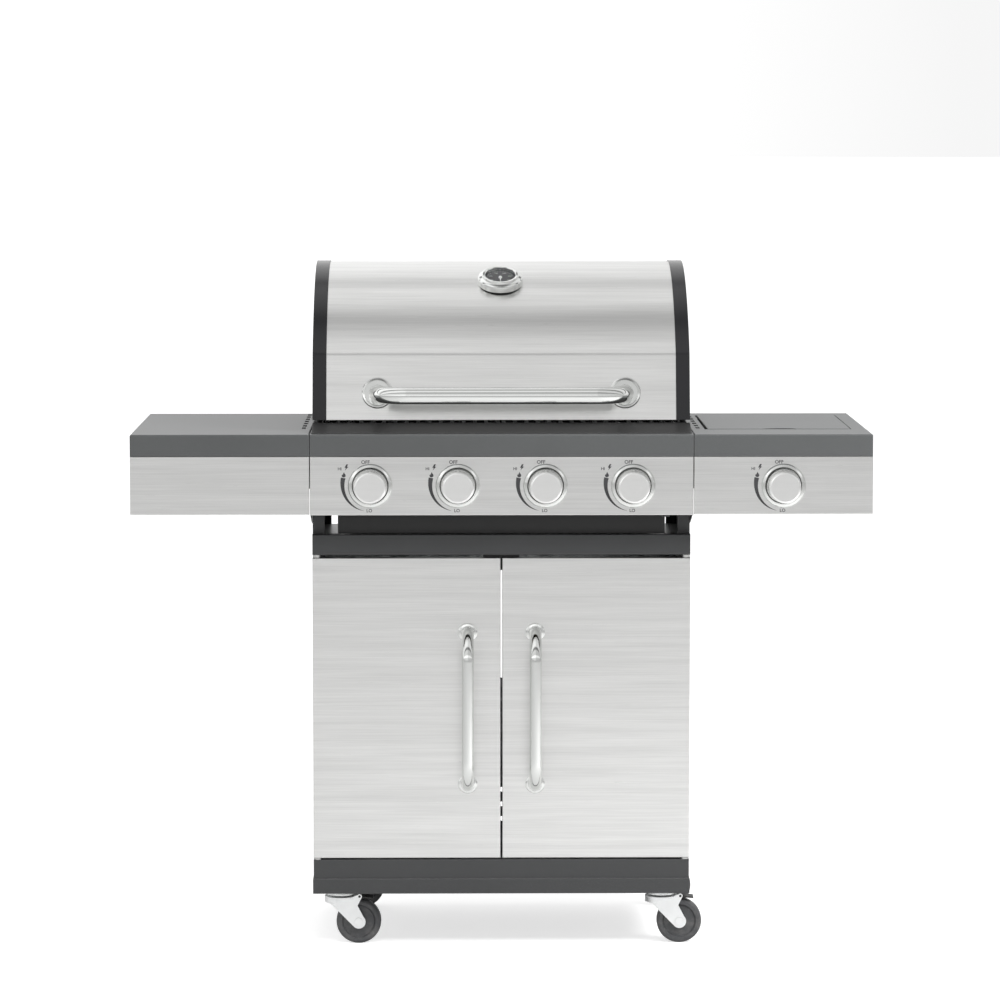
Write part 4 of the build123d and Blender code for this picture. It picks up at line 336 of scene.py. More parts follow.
def grain_group():
    """Brushed grain along X: fine lines and broader bands."""
    tree, start, end = shader_group(
        "brushed_grain",
        [("Vector", "NodeSocketVector", None), ("Lines", "NodeSocketFloat", 700.0),
         ("Stretch", "NodeSocketFloat", 0.012)],
        [("Line", "NodeSocketFloat"), ("Band", "NodeSocketFloat"), ("Height", "NodeSocketFloat")])
    length = node(tree, "ShaderNodeMath", {"operation": "MULTIPLY"})
    wire(tree, start, "Lines", length, 0)
    wire(tree, start, "Stretch", length, 1)
    scale = node(tree, "ShaderNodeCombineXYZ")
    wire(tree, length, "Value", scale, "X")
    wire(tree, start, "Lines", scale, "Y")
    wire(tree, start, "Lines", scale, "Z")
    drawn = node(tree, "ShaderNodeVectorMath", {"operation": "MULTIPLY"})
    wire(tree, start, "Vector", drawn, 0)
    wire(tree, scale, "Vector", drawn, 1)
    lines = node(tree, "ShaderNodeTexNoise", {}, {"Scale": 1.0, "Detail": 3.0, "Roughness": 0.7})
    wire(tree, drawn, "Vector", lines, "Vector")
    wire(tree, lines, "Fac", end, "Line")
    wire(tree, lines, "Fac", end, "Height")
    coarse = node(tree, "ShaderNodeVectorMath", {"operation": "MULTIPLY"}, {1: (0.35, 0.12, 0.12)})
    wire(tree, drawn, "Vector", coarse, 0)
    bands = node(tree, "ShaderNodeTexNoise", {}, {"Scale": 1.0, "Detail": 2.0, "Roughness": 0.55})
    wire(tree, coarse, "Vector", bands, "Vector")
    wire(tree, bands, "Fac", end, "Band")
    return tree


brushed_grain = grain_group()


def brushed_metal(name, light, dark, roughness, lines, radius):
    """Brushed sheet: tone and gloss follow the grain."""
    finish, tree, shader = new_finish(name, {"Metallic": 1.0})
    where = node(tree, "ShaderNodeTexCoord")
    grain = node(tree, "ShaderNodeGroup", {"node_tree": brushed_grain}, {"Lines": lines})
    wire(tree, where, "Object", grain, "Vector")
    sum_up = node(tree, "ShaderNodeMix", {"data_type": "FLOAT"}, {MIX_SHARE: 0.5})
    wire(tree, grain, "Line", sum_up, FLOAT_A)
    wire(tree, grain, "Band", sum_up, FLOAT_B)
    spread = node(tree, "ShaderNodeMapRange", {}, {"From Min": 0.3, "From Max": 0.7})
    wire(tree, sum_up, FLOAT_OUT, spread, "Value")
    tone = colour_mix(tree, dark, light)
    wire(tree, spread, "Result", tone, MIX_SHARE)
    wire(tree, tone, MIX_OUT, shader, "Base Color")
    gloss = node(tree, "ShaderNodeMapRange", {}, {"To Min": roughness + 0.06, "To Max": roughness - 0.06})
    wire(tree, grain, "Line", gloss, "Value")
    wire(tree, gloss, "Result", shader, "Roughness")
    folds = node(tree, "ShaderNodeGroup", {"node_tree": softened_folds}, {"Radius": radius})
    cut = node(tree, "ShaderNodeBump", {}, {"Strength": 0.12, "Distance": 0.0002})
    wire(tree, grain, "Height", cut, "Height")
    wire(tree, folds, "Normal", cut, "Normal")
    wire(tree, cut, "Normal", shader, "Normal")
    return finish


stainless = brushed_metal("brushed_stainless", STAINLESS, STAINLESS_DARK, 0.3, 700.0, 0.001)
coat(stainless, "lid_shell", "control_panel", "left_table_front", "right_table_front", "left_door",
     "right_door")
knob_metal = brushed_metal("satin_knob_metal", KNOB_LIGHT, KNOB_DARK, 0.24, 1500.0, 0.0006)
coat(knob_metal, *[name for name in nodes if name.startswith("knob_") and name != "knob_bezels"])

# -----------------------------------------------------------------------------------------------------------
# Polished chrome: handles and their roses, knob bezels, thermometer case and warming rack. Bright plate
# with a faint haze from wiping.
CHROME = (0.78, 0.79, 0.775, 1)


def chrome_plate(name, colour, roughness):
    finish, tree, shader = new_finish(name, {"Metallic": 1.0, "Base Color": colour})
    where = node(tree, "ShaderNodeTexCoord")
    wiped = node(tree, "ShaderNodeTexNoise", {}, {"Scale": 18.0, "Detail": 4.0, "Roughness": 0.6})
    haze = node(tree, "ShaderNodeMapRange", {}, {"From Min": 0.35, "From Max": 0.75, "To Min": roughness,
                                                 "To Max": roughness + 0.07})
    wire(tree, where, "Object", wiped, "Vector")
    wire(tree, wiped, "Fac", haze, "Value")
    wire(tree, haze, "Result", shader, "Roughness")
    folds = node(tree, "ShaderNodeGroup", {"node_tree": softened_folds}, {"Radius": 0.0006})
    wire(tree, folds, "Normal", shader, "Normal")
    return finish


chrome = chrome_plate("polished_chrome", CHROME, 0.05)
coat(chrome, "lid_handle", "left_door_handle", "right_door_handle", "thermometer_case", "knob_bezels",
     "warming_rack")

# -----------------------------------------------------------------------------------------------------------
# Lid end caps. Pressed steel in gloss black enamel with a slight orange-peel surface.
CAP_BLACK = (0.009, 0.009, 0.01, 1)


def gloss_enamel():
    gleam = {"Base Color": CAP_BLACK, "Specular IOR Level": 0.35}
    finish, tree, shader = new_finish("gloss_black_enamel", gleam)
    where = node(tree, "ShaderNodeTexCoord")
    peel = node(tree, "ShaderNodeTexNoise", {}, {"Scale": 350.0, "Detail": 1.0})
    wipes = node(tree, "ShaderNodeTexNoise", {}, {"Scale": 9.0, "Detail": 3.0})
    gloss = node(tree, "ShaderNodeMapRange", {}, {"To Min": 0.16, "To Max": 0.28})
    folds = node(tree, "ShaderNodeGroup", {"node_tree": softened_folds}, {"Radius": 0.001})
    skin = node(tree, "ShaderNodeBump", {}, {"Strength": 0.08, "Distance": 0.0003})
    wire(tree, where, "Object", peel, "Vector")
    wire(tree, where, "Object", wipes, "Vector")
    wire(tree, wipes, "Fac", gloss, "Value")
    wire(tree, gloss, "Result", shader, "Roughness")
    wire(tree, peel, "Fac", skin, "Height")
    wire(tree, folds, "Normal", skin, "Normal")
    wire(tree, skin, "Normal", shader, "Normal")
    return finish


coat(gloss_enamel(), "lid_left_cap", "lid_right_cap")

# -----------------------------------------------------------------------------------------------------------
# Cook box. Firebox, heat shield and side burner pan are in matt heat-proof enamel; the grates are enamelled
# cast iron, the burners and flame tamers thin stainless with straw and blue heat colours, the valves brass.
ENAMEL = (0.014, 0.014, 0.014, 1)
ENAMEL_FLECK = (0.035, 0.035, 0.035, 1)

firebox_enamel = powder_coat("heatproof_enamel", ENAMEL, ENAMEL_FLECK, 0.6, 0.001)
coat(firebox_enamel, "firebox", "heat_shield", "side_burner_bowl")


def cast_iron():
    finish, tree, shader = new_finish("enamelled_cast_iron", {})
    where = node(tree, "ShaderNodeTexCoord")
    sand = node(tree, "ShaderNodeTexNoise", {}, {"Scale": 600.0, "Detail": 4.0, "Roughness": 0.65})
    scorch = node(tree, "ShaderNodeTexNoise", {}, {"Scale": 22.0, "Detail": 3.0})
    tone = colour_mix(tree, (0.018, 0.018, 0.018, 1), (0.05, 0.046, 0.042, 1))
    gloss = node(tree, "ShaderNodeMapRange", {}, {"To Min": 0.45, "To Max": 0.75})
    folds = node(tree, "ShaderNodeGroup", {"node_tree": softened_folds}, {"Radius": 0.0015})
    skin = node(tree, "ShaderNodeBump", {}, {"Strength": 0.4, "Distance": 0.0004})
    wire(tree, where, "Object", sand, "Vector")
    wire(tree, where, "Object", scorch, "Vector")
    wire(tree, scorch, "Fac", tone, MIX_SHARE)
    wire(tree, tone, MIX_OUT, shader, "Base Color")
    wire(tree, scorch, "Fac", gloss, "Value")
    wire(tree, gloss, "Result", shader, "Roughness")
    wire(tree, sand, "Fac", skin, "Height")
    wire(tree, folds, "Normal", skin, "Normal")
    wire(tree, skin, "Normal", shader, "Normal")
    return finish


coat(cast_iron(), "cooking_grate_left", "cooking_grate_right", "side_burner_grate")


def heated_steel():
    """Plain stainless with heat colours in soft patches."""
    finish, tree, shader = new_finish("heated_steel", {"Metallic": 1.0})
    where = node(tree, "ShaderNodeTexCoord")
    heat = node(tree, "ShaderNodeTexNoise", {}, {"Scale": 9.0, "Detail": 2.0})
    tint = node(tree, "ShaderNodeValToRGB")
    ramp = tint.color_ramp
    ramp.elements[0].position = 0.35
    ramp.elements[0].color = (0.5, 0.49, 0.47, 1)
    ramp.elements[1].position = 0.75
    ramp.elements[1].color = (0.2, 0.24, 0.36, 1)
    straw = ramp.elements.new(0.56)
    straw.color = (0.5, 0.36, 0.2, 1)
    grain = node(tree, "ShaderNodeGroup", {"node_tree": brushed_grain}, {"Lines": 400.0})
    gloss = node(tree, "ShaderNodeMapRange", {}, {"To Min": 0.28, "To Max": 0.48})
    wire(tree, where, "Object", heat, "Vector")
    wire(tree, heat, "Fac", tint, "Fac")
    wire(tree, tint, "Color", shader, "Base Color")
    wire(tree, where, "Object", grain, "Vector")
    wire(tree, grain, "Line", gloss, "Value")
    wire(tree, gloss, "Result", shader, "Roughness")
    return finish


coat(heated_steel(), "burners", "flame_tamers")


def turned_brass():
    finish, tree, shader = new_finish("turned_brass", {"Metallic": 1.0})
    where = node(tree, "ShaderNodeTexCoord")
    tarnish = node(tree, "ShaderNodeTexNoise", {}, {"Scale": 60.0, "Detail": 3.0})
    tone = colour_mix(tree, (0.52, 0.36, 0.13, 1), (0.72, 0.55, 0.25, 1))
    gloss = node(tree, "ShaderNodeMapRange", {}, {"To Min": 0.42, "To Max": 0.24})
    wire(tree, where, "Object", tarnish, "Vector")
    wire(tree, tarnish, "Fac", tone, MIX_SHARE)
    wire(tree, tone, MIX_OUT, shader, "Base Color")
    wire(tree, tarnish, "Fac", gloss, "Value")
    wire(tree, gloss, "Result", shader, "Roughness")
    return finish


coat(turned_brass(), "gas_valves")

# -----------------------------------------------------------------------------------------------------------
# Casters and hardware. Forks, plates, pins and bolts are zinc plated, wheels are hard moulded plastic that
# has gathered dust, and the brake pedals and lid bumpers are black plastic and rubber.
def starting(*words):
    """The CAD pieces whose names start with one of these words."""
    return [name for name in nodes if name.startswith(words)]


def zinc_plate(name, colour, roughness):
    finish, tree, shader = new_finish(name, {"Metallic": 0.85})
    where = node(tree, "ShaderNodeTexCoord")
    cloud = node(tree, "ShaderNodeTexNoise", {}, {"Scale": 45.0, "Detail": 4.0, "Roughness": 0.6})
    darker = tuple(part * 0.86 for part in colour[:3]) + (1,)
    tone = colour_mix(tree, darker, colour)
    gloss = node(tree, "ShaderNodeMapRange", {}, {"To Min": roughness - 0.08, "To Max": roughness + 0.1})
    folds = node(tree, "ShaderNodeGroup", {"node_tree": softened_folds}, {"Radius": 0.0008})
    wire(tree, where, "Object", cloud, "Vector")
    wire(tree, cloud, "Fac", tone, MIX_SHARE)
    wire(tree, tone, MIX_OUT, shader, "Base Color")
    wire(tree, cloud, "Fac", gloss, "Value")
    wire(tree, gloss, "Result", shader, "Roughness")
    wire(tree, folds, "Normal", shader, "Normal")
    return finish


def moulded_plastic(name, colour, roughness, scuff):
    finish, tree, shader = new_finish(name, {})
    where = node(tree, "ShaderNodeTexCoord")
    fine = node(tree, "ShaderNodeTexNoise", {}, {"Scale": 900.0, "Detail": 2.0})
    dust = node(tree, "ShaderNodeTexNoise", {}, {"Scale": 40.0, "Detail": 4.0, "Roughness": 0.7})
    share = node(tree, "ShaderNodeMapRange", {}, {"From Min": 0.45, "From Max": 0.75, "To Max": scuff})
    tone = colour_mix(tree, colour, (0.22, 0.21, 0.2, 1))
    gloss = node(tree, "ShaderNodeMapRange", {}, {"To Min": roughness - 0.07, "To Max": roughness + 0.12})
    folds = node(tree, "ShaderNodeGroup", {"node_tree": softened_folds}, {"Radius": 0.0008})
    skin = node(tree, "ShaderNodeBump", {}, {"Strength": 0.15, "Distance": 0.0002})
    wire(tree, where, "Object", fine, "Vector")
    wire(tree, where, "Object", dust, "Vector")
    wire(tree, dust, "Fac", share, "Value")
    wire(tree, share, "Result", tone, MIX_SHARE)
    wire(tree, tone, MIX_OUT, shader, "Base Color")
    wire(tree, dust, "Fac", gloss, "Value")
    wire(tree, gloss, "Result", shader, "Roughness")
    wire(tree, fine, "Fac", skin, "Height")
    wire(tree, folds, "Normal", skin, "Normal")
    wire(tree, skin, "Normal", shader, "Normal")
    return finish


bright_zinc = zinc_plate("bright_zinc", (0.97, 0.98, 0.98, 1), 0.36)
coat(bright_zinc, *starting("caster_plates", "caster_fork"))
hardware_zinc = zinc_plate("hardware_zinc", (0.6, 0.6, 0.59, 1), 0.3)
coat(hardware_zinc, *starting("hinge_pins_and_brackets", "assembly_bolts", "spindle"))
wheel_plastic = moulded_plastic("wheel_plastic", (0.052, 0.053, 0.056, 1), 0.42, 0.35)
coat(wheel_plastic, *starting("caster_wheel"))
black_plastic = moulded_plastic("black_plastic", (0.012, 0.012, 0.012, 1), 0.45, 0.1)
coat(black_plastic, *starting("lid_bumpers", "caster_brake", "thermometer_dial"))

# -----------------------------------------------------------------------------------------------------------
# Panel print. Round each knob the fascia carries screen-printed ink: the words OFF, HI and LO, a spark, a
# flame and a wedge that tapers from high to low.
INK_PROUD = 0.15 * MM
WEDGE_RADIUS = 46 * MM
WEDGE_WIDTH = 7.7 * MM
WEDGE_START = math.radians(168)
WEDGE_END = math.radians(256)
WEDGE_STEPS = 30
SPARK = [(-0.1, 5.2), (3.0, 5.2), (1.0, 1.2), (3.4, 1.2), (-2.6, -5.2), (-0.6, -0.6), (-3.0, -0.6)]
FLAME = [(0.4, 4.6), (1.2, 2.6), (2.6, 0.9), (3.3, -1.0), (3.0, -2.8), (1.8, -4.0), (0, -4.4), (-1.8, -4.0),
         (-3.0, -2.8), (-3.3, -1.0), (-2.4, 0.8), (-1.6, -0.2), (-0.8, 2.2)]
SIGNS = [("spark", SPARK, -39.0, 30.5), ("flame", FLAME, -43.4, 18.4)]      # places from the knob, in mm
WORDS = [("OFF", -7.6, 39.0, 8.0), ("HI", -50.0, 28.0, 6.7), ("LO", -1.6, -41.0, 7.2)]
PRINT_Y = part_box("control_panel")[0].y


def only(piece):
    """Selects one piece and makes it the active one."""
    bpy.ops.object.select_all(action="DESELECT")
    piece.select_set(True)
    bpy.context.view_layer.objects.active = piece


def settle(piece, name, finish):
    """Puts a finished piece's place in its mesh and gives it its name and finish."""
    only(piece)
    bpy.ops.object.transform_apply(location=True, rotation=True, scale=True)
    piece.name = name
    piece.data.name = name
    piece.data.materials.clear()
    piece.data.materials.append(finish)
    return piece


def pick(piece, kind, test):
    """In edit mode, selects only the verts, edges or faces that pass a test of their place or normal."""
    bpy.ops.mesh.select_mode(type={"verts": "VERT", "edges": "EDGE", "faces": "FACE"}[kind])
    bpy.ops.mesh.select_all(action="DESELECT")
    shape = bmesh.from_edit_mesh(piece.data)
    for part in getattr(shape, kind):
        if test(part):
            part.select_set(True)
    shape.select_flush_mode()
    bmesh.update_edit_mesh(piece.data)


def raise_ink(piece):
    """Turns a flat outline that faces the cook into ink with a thickness."""
    bpy.ops.mesh.select_all(action="SELECT")
    bpy.ops.mesh.extrude_region_move(TRANSFORM_OT_translate={"value": (0, -INK_PROUD, 0)})
    bpy.ops.mesh.select_all(action="SELECT")
    bpy.ops.mesh.normals_make_consistent(inside=False)
    bpy.ops.object.mode_set(mode="OBJECT")


def ink_shape(outline, x, z):
    """A printed sign: a disc whose rim is drawn out to the outline, then raised."""
    bpy.ops.object.select_all(action="DESELECT")
    bpy.ops.mesh.primitive_circle_add(vertices=len(outline), radius=MM, fill_type="NGON", location=(0, 0, 0),
                                      rotation=(math.pi / 2, 0, 0))
    piece = bpy.context.object
    bpy.ops.object.transform_apply(location=True, rotation=True, scale=True)
    rim = [corner.co.copy() for corner in piece.data.vertices]
    order = sorted(range(len(rim)), key=lambda i: -math.atan2(rim[i].z, rim[i].x) % math.tau)
    turn = min(range(len(order)), key=lambda i: abs(rim[order[i]].x) if rim[order[i]].z > 0 else 1)
    bpy.ops.object.mode_set(mode="EDIT")
    for i, (px, pz) in enumerate(outline):
        corner = order[(turn + i) % len(order)]
        pick(piece, "verts", lambda vert: vert.index == corner)
        move = Vector((x + px * MM, PRINT_Y, z + pz * MM)) - rim[corner]
        bpy.ops.transform.translate(value=move)
    raise_ink(piece)
    return piece


def ink_wedge(x, z):
    """The tapering sweep at the knob's left: one edge carried round the knob and narrowed step by step."""
    bpy.ops.object.select_all(action="DESELECT")
    bpy.ops.mesh.primitive_plane_add(size=WEDGE_WIDTH, location=(0, 0, 0), rotation=(math.pi / 2, 0, 0))
    piece = bpy.context.object
    bpy.ops.object.transform_apply(location=True, rotation=True, scale=True)
    bpy.ops.object.mode_set(mode="EDIT")
    pick(piece, "verts", lambda vert: vert.co.z > 0)
    bpy.ops.transform.translate(value=(0, 0, -0.999 * WEDGE_WIDTH))
    bpy.ops.mesh.select_all(action="SELECT")
    out = Vector((math.cos(WEDGE_START), 0, math.sin(WEDGE_START)))
    bpy.ops.transform.rotate(value=WEDGE_START, orient_axis="Y", center_override=(0, 0, 0))
    bpy.ops.transform.translate(value=Vector((x, PRINT_Y, z)) + out * WEDGE_RADIUS)
    step = (WEDGE_END - WEDGE_START) / WEDGE_STEPS
    middle = Vector((x, PRINT_Y, z))
    shape = bmesh.from_edit_mesh(piece.data)
    first = max(shape.edges, key=lambda edge: edge.calc_length())
    near = (first.verts[0].co + first.verts[1].co) / 2
    pick(piece, "edges", lambda edge: edge.calc_length() > WEDGE_WIDTH / 2
         and (sum((v.co for v in edge.verts), Vector()) / 2 - near).length < MM / 100)
    for i in range(1, WEDGE_STEPS + 1):
        bpy.ops.mesh.extrude_region_move()
        bpy.ops.transform.rotate(value=step, orient_axis="Y", center_override=middle)
        angle = WEDGE_START + i * step
        place = middle + Vector((math.cos(angle), 0, math.sin(angle))) * (WEDGE_RADIUS - WEDGE_WIDTH / 2)
        narrower = (WEDGE_STEPS - i + 0.6) / (WEDGE_STEPS - i + 1.6)
        bpy.ops.transform.resize(value=(narrower, narrower, narrower), center_override=place)
    bpy.ops.mesh.select_all(action="SELECT")
    bpy.ops.mesh.remove_doubles(threshold=MM / 50)
    raise_ink(piece)
    return piece


def solid_text(text, size, place, turn, proud, bolder, merged):
    """Centred lettering made solid, its outlines drawn out by bolder and its closest points merged."""
    bpy.ops.object.select_all(action="DESELECT")
    bpy.ops.object.text_add(location=place, rotation=turn)
    piece = bpy.context.object
    piece.data.body = text
    piece.data.size = size
    piece.data.align_x = "CENTER"
    piece.data.align_y = "CENTER"
    piece.data.extrude = proud
    piece.data.offset = bolder
    bpy.ops.object.convert(target="MESH")
    piece = bpy.context.object
    bpy.ops.object.mode_set(mode="EDIT")
    bpy.ops.mesh.select_all(action="SELECT")
    bpy.ops.mesh.remove_doubles(threshold=merged)
    bpy.ops.mesh.normals_make_consistent(inside=False)
    bpy.ops.object.mode_set(mode="OBJECT")
    return piece


def ink_word(word, x, z, size, finish):
    """A printed word that faces the cook."""
    piece = solid_text(word, size, (x, PRINT_Y, z), (math.pi / 2, 0, 0), INK_PROUD, size / 55, MM / 100)
    return settle(piece, "word", finish)


def screen_ink(name, colour):
    """Matt ink with a slightly uneven lay."""
    finish, tree, shader = new_finish(name, {"Roughness": 0.55})
    where = node(tree, "ShaderNodeTexCoord")
    lay = node(tree, "ShaderNodeTexNoise", {}, {"Scale": 1200.0, "Detail": 2.0})
    paler = tuple(min(1.0, part * 1.25 + 0.004) for part in colour[:3]) + (1,)
    tone = colour_mix(tree, colour, paler)
    wire(tree, where, "Object", lay, "Vector")
    wire(tree, lay, "Fac", tone, MIX_SHARE)
    wire(tree, tone, MIX_OUT, shader, "Base Color")
    return finish


panel_ink = screen_ink("panel_ink", (0.03, 0.03, 0.032, 1))
for label in ("1", "2", "3", "4", "side"):
    knob_low, knob_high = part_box(f"knob_{label}")
    knob_x, knob_z = (knob_low.x + knob_high.x) / 2, (knob_low.z + knob_high.z) / 2
    signs = [ink_word(word, knob_x + x * MM, knob_z + z * MM, size * MM, panel_ink)
             for word, x, z, size in WORDS]
    for sign, outline, x, z in SIGNS:
        signs.append(settle(ink_shape(outline, knob_x + x * MM, knob_z + z * MM), sign, panel_ink))
    signs.append(settle(ink_wedge(knob_x, knob_z), "wedge", panel_ink))
    only(signs[0])
    for sign in signs[1:]:
        sign.select_set(True)
    bpy.ops.object.join()
    marks = settle(bpy.context.object, f"panel_print_{label}", panel_ink)
    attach(marks, "cart")

# -----------------------------------------------------------------------------------------------------------
# Thermometer. Behind its glass the black dial plate is printed with a ring of pale ticks and figures and a
# red arc; a white sheet-metal needle on a round hub sweeps over it.
THERMO_SLOPE = math.radians(25.3)
THERMO_PLACE = Vector((0, -19.57, 1102.54)) * MM
DIAL_TOP = 9.8 * MM
PRINT_LIFT = 0.3 * MM
GLASS_RADIUS = 25.3 * MM
GLASS_HEIGHT = 15.2 * MM
TICKS = 25
TICK_RADIUS = 22.0 * MM
LONG_TICK = 2.8 * MM
SHORT_TICK = 1.6 * MM
TICK_WIDTH = 0.5 * MM
SCALE_HALF = 144             # degrees from the top of the dial to either end of the ticks
FIGURES = [("50", -120), ("100", -72), ("150", -24), ("200", 24), ("250", 72), ("300", 120)]
FIGURE_RADIUS = 17.0 * MM
FIGURE_SIZE = 4.2 * MM
RED_INNER = 18.5 * MM
RED_OUTER = 22.5 * MM
RED_FROM = math.radians(-140)
RED_TO = math.radians(-40)
RED_STEPS = 24
on_lid = Matrix.Translation(THERMO_PLACE) @ Matrix.Rotation(THERMO_SLOPE, 4, "X")


def onto_lid(piece, name, finish):
    """Moves a piece that was modelled about the dial's own axis to its place on the lid."""
    settle(piece, name, finish)
    piece.matrix_world = on_lid
    settle(piece, name, finish)
    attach(piece, "lid")
    return piece


def joined(pieces):
    only(pieces[0])
    for piece in pieces[1:]:
        piece.select_set(True)
    bpy.ops.object.join()
    return bpy.context.object


def dial_plate():
    """A thin disc with a sunk face: a cylinder whose top is inset twice, the second time a little deeper."""
    bpy.ops.object.select_all(action="DESELECT")
    bpy.ops.mesh.primitive_cylinder_add(vertices=96, radius=24.9 * MM, depth=0.4 * MM,
                                        location=(0, 0, DIAL_TOP + 0.2 * MM))
    piece = bpy.context.object
    bpy.ops.object.mode_set(mode="EDIT")
    pick(piece, "faces", lambda face: face.normal.z > 0.9)
    bpy.ops.mesh.inset(thickness=0.5 * MM, depth=0)
    bpy.ops.mesh.inset(thickness=0.3 * MM, depth=-0.15 * MM)
    bpy.ops.object.mode_set(mode="OBJECT")
    return piece


def tick(angle, radius, length, width):
    """A mark of the scale, narrower towards the middle of the dial."""
    bpy.ops.object.select_all(action="DESELECT")
    bpy.ops.mesh.primitive_cube_add(size=1, location=(0, radius, DIAL_TOP + PRINT_LIFT))
    piece = bpy.context.object
    piece.scale = (width, length, 0.1 * MM)
    bpy.ops.object.transform_apply(location=True, rotation=False, scale=True)
    bpy.ops.object.mode_set(mode="EDIT")
    pick(piece, "verts", lambda vert: vert.co.y < radius)
    bpy.ops.transform.resize(value=(0.6, 1, 1), center_override=(0, radius, 0))
    bpy.ops.object.mode_set(mode="OBJECT")
    piece.rotation_euler = (0, 0, angle)
    bpy.ops.object.transform_apply(location=True, rotation=True, scale=True)
    return piece


def figure(text, angle):
    """A number of the scale, upright at its angle round the dial."""
    place = (-math.sin(angle) * FIGURE_RADIUS, math.cos(angle) * FIGURE_RADIUS, DIAL_TOP + PRINT_LIFT)
    piece = solid_text(text, FIGURE_SIZE, place, (0, 0, 0), 0.05 * MM, 0, MM / 200)
    bpy.ops.object.transform_apply(location=True, rotation=True, scale=True)
    return piece


def ring_sector(inner, outer, start, stop, steps, height):
    """Part of a flat ring, spun from one face."""
    bpy.ops.object.select_all(action="DESELECT")
    bpy.ops.mesh.primitive_plane_add(size=1, location=((inner + outer) / 2, 0, height),
                                     rotation=(math.pi / 2, 0, 0))
    piece = bpy.context.object
    piece.scale = (outer - inner, 0.1 * MM, 1)
    bpy.ops.object.transform_apply(location=True, rotation=True, scale=True)
    piece.rotation_euler = (0, 0, start)
    bpy.ops.object.transform_apply(location=True, rotation=True, scale=True)
    bpy.ops.object.mode_set(mode="EDIT")
    bpy.ops.mesh.select_all(action="SELECT")
    bpy.ops.mesh.spin(steps=steps, angle=start - stop, center=(0, 0, height), axis=(0, 0, 1))
    bpy.ops.mesh.select_all(action="SELECT")
    bpy.ops.mesh.normals_make_consistent(inside=False)
    bpy.ops.object.mode_set(mode="OBJECT")
    return piece


def needle():
    """A sheet blade that points down the dial, tapered to its tip, and the round hub it is pressed on."""
    bpy.ops.object.select_all(action="DESELECT")
    bpy.ops.mesh.primitive_cube_add(size=1, location=(0, -8 * MM, DIAL_TOP + 1.8 * MM))
    blade = bpy.context.object
    blade.scale = (2.2 * MM, 24 * MM, 0.4 * MM)
    bpy.ops.object.transform_apply(location=True, rotation=False, scale=True)
    bpy.ops.object.mode_set(mode="EDIT")
    pick(blade, "verts", lambda vert: vert.co.y < -10 * MM)
    bpy.ops.transform.resize(value=(0.25, 1, 1), center_override=(0, 0, 0))
    bpy.ops.object.mode_set(mode="OBJECT")
    bpy.ops.object.select_all(action="DESELECT")
    bpy.ops.mesh.primitive_cylinder_add(vertices=48, radius=3 * MM, depth=2.2 * MM,
                                        location=(0, 0, DIAL_TOP + 1.3 * MM))
    hub = bpy.context.object
    bpy.ops.object.transform_apply(location=True, rotation=True, scale=True)
    bpy.ops.object.mode_set(mode="EDIT")
    top = DIAL_TOP + 2.4 * MM
    pick(hub, "edges", lambda edge: all(vert.co.z > top - MM / 10 for vert in edge.verts))
    bpy.ops.mesh.bevel(offset=0.6 * MM, segments=3)
    bpy.ops.object.mode_set(mode="OBJECT")
    return joined([blade, hub])


def glass_pane():
    """Flat glass with a ground edge, held in the collar."""
    bpy.ops.object.select_all(action="DESELECT")
    bpy.ops.mesh.primitive_cylinder_add(vertices=96, radius=GLASS_RADIUS, depth=1.0 * MM,
                                        location=(0, 0, GLASS_HEIGHT))
    pane = bpy.context.object
    bpy.ops.object.mode_set(mode="EDIT")
    pick(pane, "edges", lambda edge: abs(edge.verts[0].co.z - edge.verts[1].co.z) < MM / 10)
    bpy.ops.mesh.bevel(offset=0.2 * MM, segments=2)
    bpy.ops.object.mode_set(mode="OBJECT")
    return pane


def clear_glass():
    """Window glass with a trace of smear in its gloss."""
    finish, tree, shader = new_finish("dial_glass", {"Transmission Weight": 1.0, "IOR": 1.2,
                                                     "Base Color": (0.97, 0.98, 0.98, 1)})
    where = node(tree, "ShaderNodeTexCoord")
    smear = node(tree, "ShaderNodeTexNoise", {}, {"Scale": 60.0, "Detail": 3.0})
    gloss = node(tree, "ShaderNodeMapRange", {}, {"From Min": 0.5, "From Max": 0.9, "To Max": 0.08})
    wire(tree, where, "Object", smear, "Vector")
    wire(tree, smear, "Fac", gloss, "Value")
    wire(tree, gloss, "Result", shader, "Roughness")
    return finish


dial_black = screen_ink("dial_black", (0.05, 0.05, 0.053, 1))
dial_white = screen_ink("dial_white", (0.55, 0.55, 0.53, 1))
dial_red = screen_ink("dial_red", (0.55, 0.13, 0.13, 1))
needle_white = screen_ink("needle_white", (0.75, 0.75, 0.74, 1))
onto_lid(dial_plate(), "dial_face_plate", dial_black)
ticks = []
for i in range(TICKS):
    length = LONG_TICK if i % 4 == 0 else SHORT_TICK
    turn = math.radians(-SCALE_HALF + 2 * SCALE_HALF * i / (TICKS - 1))
    ticks.append(tick(turn, TICK_RADIUS, length, TICK_WIDTH))
figures = [figure(text, math.radians(-angle)) for text, angle in FIGURES]
onto_lid(joined(ticks + figures), "dial_print", dial_white)
red_arc = ring_sector(RED_INNER, RED_OUTER, RED_FROM, RED_TO, RED_STEPS, DIAL_TOP + PRINT_LIFT)
onto_lid(red_arc, "dial_red_arc", dial_red)
onto_lid(needle(), "dial_needle", needle_white)
onto_lid(glass_pane(), "dial_glass_pane", clear_glass())

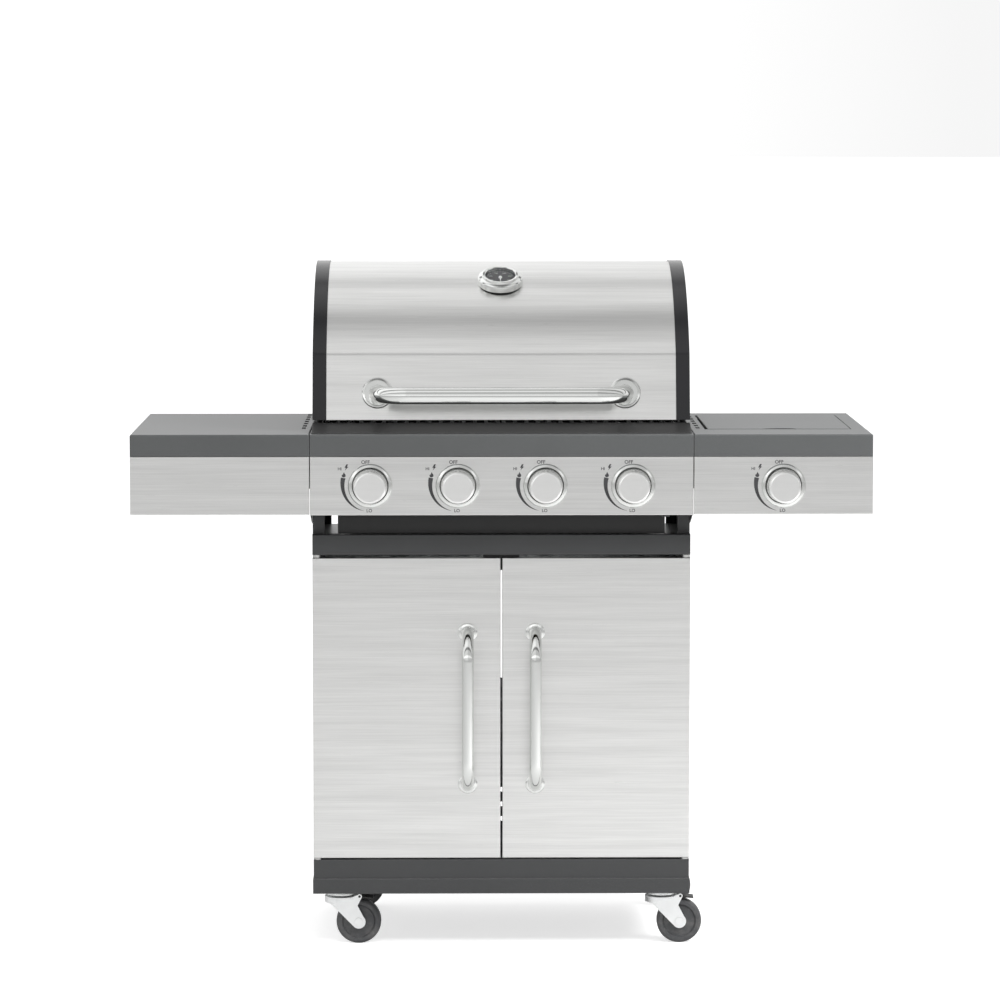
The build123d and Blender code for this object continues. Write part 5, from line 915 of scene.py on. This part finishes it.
# -----------------------------------------------------------------------------------------------------------
# Screws and rivets. Domed screws hold the rear panel to the side flanges, and a row of smaller heads runs
# along the foot of each end cap of the lid.
SCREW_RADIUS = 4 * MM
SCREW_HEIGHT = 2.2 * MM
SCREW_FROM_EDGE = 9 * MM
SCREW_ROWS = (0.06, 0.35, 0.64, 0.93)
RIVET_RADIUS = 3.2 * MM
RIVET_HEIGHT = 1.6 * MM
RIVET_RISE = 60 * MM
RIVET_COLUMNS = (0.14, 0.4, 0.72)


def screw_head(radius, height):
    """A domed head with a round recess: a cylinder whose rim is bevelled and its top inset and sunk."""
    bpy.ops.object.select_all(action="DESELECT")
    bpy.ops.mesh.primitive_cylinder_add(vertices=32, radius=radius, depth=height, location=(0, 0, height / 2))
    piece = bpy.context.object
    bpy.ops.object.transform_apply(location=True, rotation=True, scale=True)
    bpy.ops.object.mode_set(mode="EDIT")
    pick(piece, "edges", lambda edge: all(vert.co.z > 0.9 * height for vert in edge.verts))
    bpy.ops.mesh.bevel(offset=0.6 * height, segments=4)
    pick(piece, "faces", lambda face: face.normal.z > 0.99 and face.calc_center_median().z > 0.9 * height)
    bpy.ops.mesh.inset(thickness=0.25 * radius, depth=0)
    bpy.ops.mesh.inset(thickness=0.05 * radius, depth=-0.4 * height)
    bpy.ops.object.mode_set(mode="OBJECT")
    return piece


def heads(name, places, turn, radius, height, body, finish):
    """Screw heads of one size at their places, all turned the same way, as one piece."""
    made = []
    for place in places:
        head = screw_head(radius, height)
        head.rotation_euler = turn
        head.location = place
        made.append(settle(head, name, finish))
    piece = settle(joined(made), name, finish)
    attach(piece, body)


rear_low, rear_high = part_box("rear_panel")
rear_sheet_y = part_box("left_side_panel")[1].y
screw_x = rear_high.x - SCREW_FROM_EDGE
screw_z = [rear_low.z + share * (rear_high.z - rear_low.z) for share in SCREW_ROWS]
heads("rear_panel_screws", [(side * screw_x, rear_sheet_y, z) for side in (-1, 1) for z in screw_z],
      (-math.pi / 2, 0, 0), SCREW_RADIUS, SCREW_HEIGHT, "cart", hardware_zinc)
cap_low, cap_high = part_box("lid_right_cap")
rivet_y = [cap_low.y + share * (cap_high.y - cap_low.y) for share in RIVET_COLUMNS]
for side, word in ((-1, "left"), (1, "right")):
    places = [(side * cap_high.x, y, cap_low.z + RIVET_RISE) for y in rivet_y]
    heads(f"lid_{word}_cap_rivets", places, (0, side * math.pi / 2, 0), RIVET_RADIUS, RIVET_HEIGHT, "lid",
          hardware_zinc)
